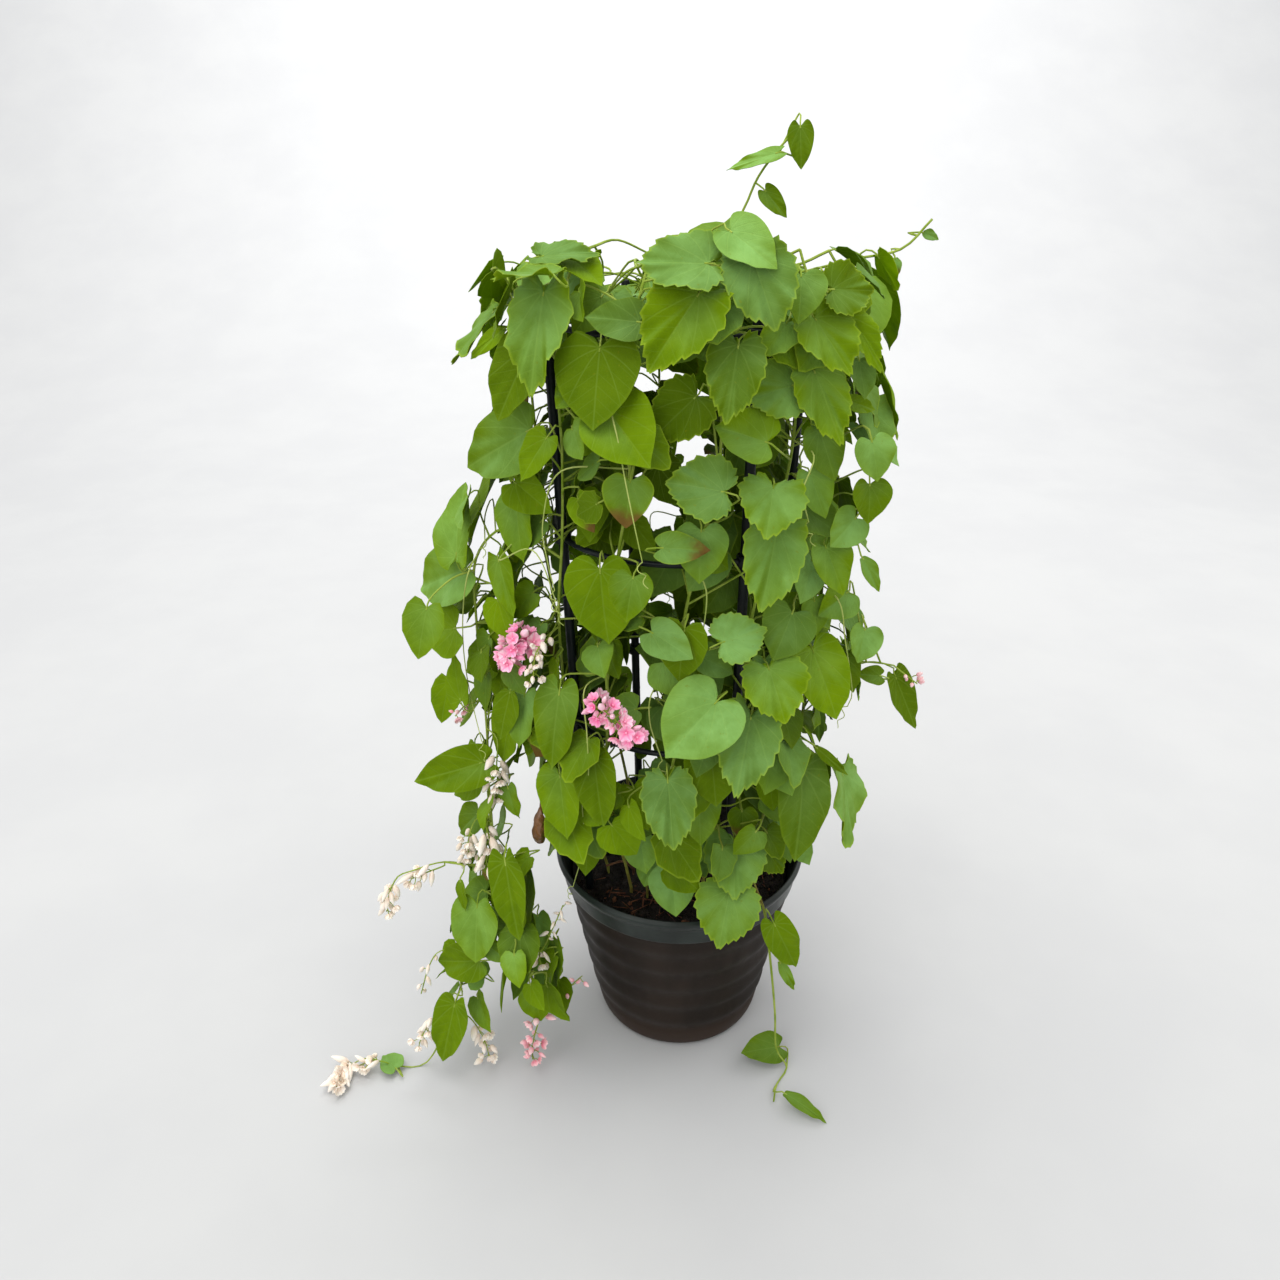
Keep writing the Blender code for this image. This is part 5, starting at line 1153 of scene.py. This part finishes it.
# small leaves by a seeded rule between and behind the large ones, as far in (inner) or out (outer) as given
between = {"tries": 14000, "most": 720, "toothed": 0.3, "innerShare": 0.6, "inner": (0.090, 0.118),
           "outer": (0.138, 0.168), "hangsPast": 0.165, "hanging": (-0.030, 0.018), "rise": (-0.02, 0.035),
           "turn": (-17, 17), "face": (-40, 40), "lean": (5, 55), "swing": (-60, 60), "droop": (0.04, 0.16),
           "stalk": (0.010, 0.065), "highest": 0.848, "lowest": 0.30, "lowestHanging": 0.10,
           "farLeft": -0.235, "farLeftHighest": 0.17}
owners = climbing + ["vine_left", "vine_left", "vine_side_left", "vine_front_left"]
filled = 0
for k in range(between["tries"]):
    if filled == between["most"]:
        break
    owner = owners[k % len(owners)]
    root = fillDraw.choice(finePoints[owner])
    reach = math.hypot(root.x, root.y)
    hanging = reach > between["hangsPast"]
    if hanging and owner != "vine_left":
        continue
    a = angleOf(root) % 360 + fillDraw.uniform(*between["turn"]) * (0.5 if hanging else 1.0)
    z = root.z + fillDraw.uniform(*between["rise"])
    inner = fillDraw.random() < between["innerShare"] and not hanging
    radius = fillDraw.uniform(*between["inner" if inner else "outer"])
    if hanging:
        radius = reach + fillDraw.uniform(*between["hanging"])
    leaf = drawLeaf(cyl(a, radius, z), a, between, 0.0 if hanging else between["toothed"])
    stalk = bowed(root, leaf.knee(), leaf.stalkEnd())
    if not between["lowestHanging" if hanging else "lowest"] <= z <= between["highest"]:
        continue
    if not between["stalk"][0] < (root - leaf.knee()).length < between["stalk"][1]:
        continue
    if leaf.base.x < between["farLeft"] and z > between["farLeftHighest"] or not isFree(leaf, stalk):
        continue
    keepLeaf(leaf, owner, stalk, a, inner)
    filled += 1
print("small leaves between:", filled, "of", k + 1)

# young leaves that end each climbing stem, but not the free shoots
young = {"each": 3, "tries": 60, "length": (0.020, 0.036), "breadth": 0.85, "face": (-90, 90),
         "lean": (20, 70), "swing": (-60, 60), "widest": 0.16,
         "jitter": ((-0.010, 0.010), (-0.010, 0.010), (-0.006, 0.006))}
for owner in climbing:
    root = vinePaths[owner][0][0][-1]
    if root.z > crown["tall"] or math.hypot(root.x, root.y) > young["widest"]:
        continue
    a = angleOf(root) % 360
    made = 0
    for k in range(young["tries"]):
        length = fillDraw.uniform(*young["length"])
        base = root + Vector([fillDraw.uniform(*side) for side in young["jitter"]])
        face = math.radians(a + fillDraw.uniform(*young["face"]))
        lean = math.radians(fillDraw.uniform(*young["lean"]))
        leaf = Leaf(base, face, lean, math.radians(fillDraw.uniform(*young["swing"])), length,
                    length * young["breadth"], "s", (0.3, 0.1, 0.03, k))
        end = leaf.stalkEnd()
        if made < young["each"] and isFree(leaf, [root, end]):
            keepLeaf(leaf, owner, [root, (root + end) / 2, end], a)
            made += 1

# tendrils: long pale threads that hang between the leaves, as angle, reach and height (mm), with a loose curl
tendril = {"thick": 0.00075, "end": 0.45, "step": 0.006, "curl": 0.0035, "curlStep": 0.0016, "curlTurn": 0.8}
tendrilRows = [
    ("vine_front_left", [(247, 160, 798), (249, 168, 783), (249, 176, 763), (252, 184, 735),
                         (254, 188, 705), (256, 190, 674), (258, 190, 641)]),
    ("vine_left", [(204, 215, 591), (197, 218, 544), (192, 220, 492), (192, 218, 446), (203, 216, 413)]),
    ("vine_front_left", [(236, 165, 499), (238, 172, 458), (238, 172, 414), (234, 168, 375),
                         (231, 158, 316), (221, 152, 242)]),
    ("vine_left", [(209, 190, 607), (223, 188, 631), (228, 186, 624), (232, 184, 590)]),
    ("vine_front_left", [(232, 170, 700), (226, 176, 654), (227, 176, 620), (230, 178, 596)]),
    ("vine_right", [(317, 180, 578), (319, 187, 538), (323, 192, 483), (321, 192, 469)]),
    ("vine_front", [(270, 150, 628), (275, 157, 603), (274, 157, 556)]),
    ("vine_front_right", [(303, 178, 715), (299, 182, 689), (301, 184, 663)]),
    ("vine_front", [(259, 160, 509), (258, 164, 479), (262, 166, 440)]),
    ("vine_left", [(190, 180, 643), (189, 188, 627), (197, 192, 612)]),
    ("vine_right", [(319, 165, 419), (329, 172, 383), (346, 176, 339)]),
    ("vine_back_a", [(55, 160, 720), (52, 168, 660), (58, 166, 610)]),
    ("vine_back_b", [(100, 160, 560), (97, 168, 500), (92, 166, 450)]),
    ("vine_back_left", [(150, 160, 700), (156, 168, 640), (151, 170, 590)]),
    ("vine_side_left", [(180, 160, 520), (176, 170, 470), (182, 172, 430)]),
    ("vine_back_right", [(8, 160, 600), (2, 168, 550), (6, 170, 500)]),
]
extraTubes = {name: [] for name in leafNodes}
for owner, rows in tendrilRows:
    points = [cyl(a, r / 1000.0, z / 1000.0) for a, r, z in rows]
    path = smoothPath([nearest(finePoints[owner], points[0])] + points, tendril["step"])
    away = (path[-1] - path[-3]).normalized()
    sideways = away.orthogonal().normalized()
    for k in range(1, 15):
        curl = tendril["curl"] * (1.0 - k / 20)
        turn = tendril["curlTurn"] * k
        path.append(points[-1] + away * (tendril["curlStep"] * k) + sideways * (curl * (1 - math.cos(turn)))
                    + away.cross(sideways) * (curl * math.sin(turn)))
    extraTubes[owner].append((path, tapered(path, tendril["thick"], tendril["end"]), 3))

for name in leafNodes:
    bm = bmesh.new()
    bm.verts.layers.float_vector.new("leafSpot")
    bm.verts.layers.float_vector.new("leafTone")
    tubes = [(path, radii, 2) for path, radii in vinePaths[name]] + extraTubes[name]
    for number, (leaf, owner, petiole, tone) in enumerate(placedLeaves):
        if owner == name:
            addBlade(bm, leaf, tone, blade if number < foundCount else smallBlade)
            path = smoothPath(petiole, 0.006) + [leaf.at(0.05, 0.0)]
            tubes.append((path, tapered(path, stem["petiole"], 0.75), 2))
    addMesh(bm, tubesMesh(tubes))
    linkPiece(name + "_leafy", meshFrom(bm, name + "_leafy"), [leafUpper, leafUnder, stemGreen, tendrilGreen],
              [name])
print("leafy stems")


# flowers: five papery petals round a short cup, and a bead in the middle
def addFloret(bm, centre, aim, size, draw, openness=1.0):
    side = aim.orthogonal().normalized()
    other = aim.cross(side)
    for k in range(5):
        own = bmesh.new()
        spot = own.verts.layers.float_vector.new("leafSpot")
        bmesh.ops.create_grid(own, x_segments=4, y_segments=4, size=0.5)
        turn = 2 * math.pi * (k + 0.15 * draw) / 5
        out = side * math.cos(turn) + other * math.sin(turn)
        flank = aim.cross(out)
        for vert in own.verts:
            s, t = vert.co.x * 2.0, vert.co.y + 0.5
            width = size * 0.66 * math.sin(math.pi * (0.10 + 0.78 * t)) * (1.0 - 0.25 * t)
            far = size * (0.10 + 0.98 * t * openness)
            rise = size * (-0.45 + 0.62 * t ** 1.3 + 0.18 * abs(s) * t - 0.1 * openness * t ** 3)
            vert.co = centre + out * far + flank * (s * width) + aim * rise
            vert[spot] = (t, s * 0.5, draw)
        bmesh.ops.solidify(own, geom=own.faces[:], thickness=0.00035)
        addMesh(bm, meshFrom(own, "petal"))
    spot = bm.verts.layers.float_vector["leafSpot"]
    bead = Matrix.Translation(centre - aim * size * 0.25)
    made = bmesh.ops.create_icosphere(bm, subdivisions=1, radius=size * 0.2, matrix=bead)
    for vert in made["verts"]:
        vert[spot] = (0.1, 0.0, 0.9)


def addBud(bm, foot, aim, length, thick, draw):
    spot = bm.verts.layers.float_vector["leafSpot"]
    made = bmesh.ops.create_icosphere(bm, subdivisions=2, radius=1.0)
    for vert in made["verts"]:
        x, y, z = vert.co
        pinch = (1.0 - 0.55 * max(0.0, z)) * (1.0 + 0.12 * math.cos(5 * math.atan2(y, x)))
        grown = Vector((x * thick * pinch, y * thick * pinch, (z + 0.8) * length / 1.8))
        vert.co = foot + (upTo(aim) @ grown)
        vert[spot] = ((z + 1.0) / 2.0, 0.5, draw)


# a cluster of the model may stand a little off its points
moves = [(0, 0, 0), (0, 0, 0.008), (0, 0, -0.008), (-0.007, -0.006, 0), (0, -0.010, 0),
         (0.006, -0.010, 0.004), (-0.008, -0.012, -0.006), (0, -0.014, 0.014), (0.010, -0.014, -0.014),
         (-0.012, 0, 0.012)]
# node, vine that carries it, points of its stalk, open flowers, buds, flower size and petals
bunches = [
    ("blossom_left", "vine_left", [cyl(211, 0.160, 0.515), cyl(212, 0.184, 0.530), cyl(215, 0.197, 0.512)],
     24, 10, 0.0072, petalPink),
    ("blossom_front", "vine_front_left",
     [cyl(239, 0.164, 0.486), cyl(247, 0.186, 0.496), cyl(256, 0.192, 0.478)], 22, 9, 0.0068, petalPink),
    ("buds_white", "vine_left", [cyl(216, 0.155, 0.53), cyl(220, 0.178, 0.525), cyl(222, 0.188, 0.500)],
     6, 8, 0.0062, petalCream),
    ("buds_far_left", "vine_left", [cyl(191, 0.222, 0.430), cyl(192, 0.235, 0.420)],
     2, 5, 0.0050, petalBlush),
    ("buds_right", "vine_right", [cyl(340, 0.226, 0.470), cyl(340, 0.238, 0.462)], 1, 4, 0.0046, petalBlush),
    ("spray_upper", "vine_left", [cyl(196, 0.196, 0.395), cyl(198, 0.200, 0.365), cyl(199, 0.200, 0.325)],
     7, 11, 0.0078, petalCream),
    ("spray_middle", "vine_left", [cyl(195, 0.226, 0.290), cyl(197, 0.236, 0.272), cyl(198, 0.238, 0.245)],
     6, 9, 0.0072, petalCream),
    ("spray_outer", "vine_left",
     spotsOf((-0.296, -0.100, 0.258), (-0.306, -0.102, 0.240), (-0.312, -0.104, 0.215)),
     5, 9, 0.0068, petalCream),
    ("spray_low", "vine_left",
     spotsOf((-0.268, -0.112, 0.075), (-0.280, -0.120, 0.068), (-0.292, -0.126, 0.045)),
     5, 9, 0.0064, petalCream),
    ("spray_floor", "vine_left",
     spotsOf((-0.362, -0.112, 0.0060), (-0.378, -0.126, 0.0065), (-0.384, -0.150, 0.0065)),
     8, 12, 0.0080, petalCream),
    ("blossom_floor", "vine_left",
     spotsOf((-0.160, -0.114, 0.062), (-0.166, -0.120, 0.040), (-0.168, -0.124, 0.016)),
     7, 7, 0.0064, petalBlush),
]
# sprigs of the hanging branch, which the model leaves out: points, open flowers, buds, flower size and petals
sprigs = [
    (((-0.203, -0.085, 0.315), (-0.199, -0.090, 0.294), (-0.205, -0.092, 0.265)), 6, 7, 0.0082, petalCream),
    (((-0.240, -0.108, 0.068), (-0.229, -0.115, 0.060), (-0.220, -0.118, 0.036), (-0.217, -0.121, 0.014)),
     6, 7, 0.0074, petalCream),
    (((-0.160, -0.119, 0.098), (-0.157, -0.122, 0.078)), 4, 3, 0.0074, petalBlush),
    (((-0.140, -0.115, 0.094), (-0.120, -0.117, 0.121), (-0.108, -0.118, 0.135)), 0, 5, 0.0060, petalBlush),
    (((-0.262, -0.096, 0.152), (-0.276, -0.101, 0.135), (-0.288, -0.105, 0.098)), 0, 6, 0.0056, petalCream),
    (((-0.157, -0.112, 0.175), (-0.154, -0.113, 0.160), (-0.153, -0.114, 0.147)), 4, 4, 0.0066, petalCream),
    (((-0.152, -0.112, 0.165), (-0.138, -0.112, 0.195), (-0.125, -0.112, 0.228)), 0, 9, 0.0040, petalCream),
    (((-0.250, -0.084, 0.259), (-0.268, -0.090, 0.255), (-0.284, -0.097, 0.252)), 5, 6, 0.0072, petalCream),
    (((-0.334, -0.121, 0.010), (-0.348, -0.120, 0.012), (-0.362, -0.124, 0.010)), 5, 4, 0.0066, petalCream),
]
bunches += [("sprig%d" % i, "vine_left", spotsOf(*row[0]), *row[1:]) for i, row in enumerate(sprigs)]
for node, vine, spots, opened, closed, flowerSize, petals in bunches:
    draw = random.Random(node)
    isNode, isPink = node in surfaces, petals is not petalCream
    move = (0, 0, 0)
    if isNode:
        move = min(moves, key=lambda m: sum(surfaces[node].find_nearest(p + Vector(m))[3] for p in spots))
    points = [p + Vector(move) for p in spots]
    path = smoothPath([nearest(finePoints[vine], points[0])] + points, 0.006)
    bm = bmesh.new()
    bm.verts.layers.float_vector.new("leafSpot")
    turn = draw.uniform(0.0, 6.28)
    stalks = [(path, tapered(path, 0.0009, 0.7), 1)]
    total = opened + closed
    for k in range(total):
        at = (0.40 + 0.60 * (k + 0.5) / total) * (len(path) - 1)
        i = min(int(at), len(path) - 2)
        foot = path[i].lerp(path[i + 1], at - i)
        along = (path[i + 1] - path[i]).normalized()
        turn += 2.4
        side = along.orthogonal().normalized()
        out = side * math.cos(turn) + along.cross(side) * math.sin(turn)
        out = (out + along * (0.3 if isPink else 0.6) + Vector((0.0, -0.25, 0.1))).normalized()
        size = flowerSize * draw.uniform(0.82, 1.12)
        isOpen = (k * opened) // total != ((k + 1) * opened) // total
        centre = foot + out * (size * ((1.2 if isPink else 0.8) + 0.45 * (k % 3)))
        centre.z = max(centre.z, size * 1.2)
        sag = foot.lerp(centre, 0.5) - along * 0.0008
        stalks.append(([foot, sag, centre - out * size * 0.4], [0.0005] * 3, 1))
        if not isPink:        # faded flowers hang down
            out = (out + Vector((0.0, 0.0, -1.1 if foot.z > 0.03 else -0.1))).normalized()
        if isOpen:
            tone = draw.random()
            addFloret(bm, centre, out, size, tone, draw.uniform(*((0.7, 1.0) if isPink else (0.3, 0.7))))
        else:
            longer = 1.0 if isPink or node == "buds_white" else draw.uniform(1.1, 1.9)
            addBud(bm, centre - out * size * 0.5, out, size * draw.uniform(1.1, 1.7) * longer,
                   size * draw.uniform(0.36, 0.5), draw.random())
    bmesh.ops.recalc_face_normals(bm, faces=bm.faces)
    addMesh(bm, tubesMesh(stalks, 0))
    name = node + "_fine" if isNode else node
    linkPiece(name, meshFrom(bm, name), [petals, stemGreen], [node] if isNode else [],
              70.0)
print("flowers")

# old bare stems: node, points, thickness and the end of a fork, with knots along them
oldStems = [
    ("old_stem_right", [cyl(301, 0.092, 0.197), cyl(302, 0.096, 0.262), cyl(300, 0.099, 0.318),
                        cyl(303, 0.101, 0.372)], 0.0024, None),
    ("old_stem_front", [cyl(272, 0.040, 0.197), cyl(268, 0.046, 0.228), cyl(262, 0.044, 0.262)], 0.0019,
     cyl(280, 0.052, 0.243)),
    ("old_stem_left", [cyl(206, 0.058, 0.197), cyl(209, 0.072, 0.222), cyl(213, 0.097, 0.231)], 0.0017, None),
    ("old_stem_back", [cyl(18, 0.066, 0.197), cyl(14, 0.062, 0.240), cyl(5, 0.064, 0.276)], 0.0020, None),
]
oldBuild = {"step": 0.004, "root": 0.022, "lift": 0.006, "knots": 0.16}
for name, points, thick, fork in oldStems:
    foot, lift = points[0].copy(), points[0].copy()
    foot.z = soil["top"] - oldBuild["root"]
    lift.z = soil["top"] + oldBuild["lift"]
    path = [foot] + smoothPath([lift] + points[1:], oldBuild["step"])
    knots = [1.0 + oldBuild["knots"] * max(0.0, math.sin(i * 0.9)) ** 6 for i in range(len(path))]
    tubes = [(path, [r * knot for r, knot in zip(tapered(path, thick, 0.6), knots)], 0)]
    if fork:
        twig = smoothPath([path[len(path) // 2], fork], oldBuild["step"])
        tubes.append((twig, tapered(twig, thick * 0.6, 0.7), 0))
    linkPiece(name + "_bark", tubesMesh(tubes, 2), [oldBark], [name])

# withered leaf: a thin stalk above the height given, then a rolled blade with crumpled folds
withered = {"points": [cyl(208, 0.160, 0.345), cyl(210, 0.167, 0.332), cyl(211, 0.171, 0.319),
                       cyl(210.5, 0.172, 0.302), cyl(209, 0.169, 0.288)],
            "radii": (0.0008, 0.0020, 0.0056, 0.0070, 0.0040), "stalk": 0.0008, "stalkAbove": 0.347,
            "foldsBelow": 0.334, "folds": 0.0010, "axis": (-0.147, -0.087)}
path = smoothPath([nearest(finePoints["vine_left"], withered["points"][0])] + withered["points"], 0.003)
radii = []
for p in path:
    k = min(range(5), key=lambda i: (withered["points"][i] - p).length)
    radii.append(withered["radii"][k] if p.z < withered["stalkAbove"] else withered["stalk"])
radii = [sum(radii[max(0, i - 2):i + 3]) / len(radii[max(0, i - 2):i + 3]) for i in range(len(radii))]
mesh = tubesMesh([(path, radii, 0)], 3)
for vert in mesh.vertices:
    if vert.co.z < withered["foldsBelow"]:
        a = math.atan2(vert.co.y - withered["axis"][1], vert.co.x - withered["axis"][0])
        out = Vector((math.cos(a), math.sin(a), 0.0))
        vert.co += out * withered["folds"] * math.sin(5 * a + vert.co.z * 380)
linkPiece("witheredLeaf", mesh, [witheredBrown], ["withered_leaf"])
print("old stems and the withered leaf")

# floor: pale and plain, and its back sweeps up
floorLook = plainMaterial("paleFloor", {
    "roughness": 0.85, "specular": 0.1, "light": (0.54, 0.544, 0.552), "dark": (0.52, 0.524, 0.535),
    "scale": 3.0, "grain": 300.0, "bump": 0.05, "bumpDepth": 0.0005})
sweep = {"size": 7.0, "place": (0, 1.0, -0.0004), "from": 2.0, "rise": 0.16}
bm = bmesh.new()
bmesh.ops.create_grid(bm, x_segments=4, y_segments=60, size=sweep["size"],
                      matrix=Matrix.Translation(sweep["place"]))
for vert in bm.verts:
    vert.co.z += sweep["rise"] * max(0.0, vert.co.y - sweep["from"]) ** 2
floorMesh = meshFrom(bm, "floor")
floorMesh.shade_smooth()
floorMesh.materials.append(floorLook)
addObject("floor", floorMesh)
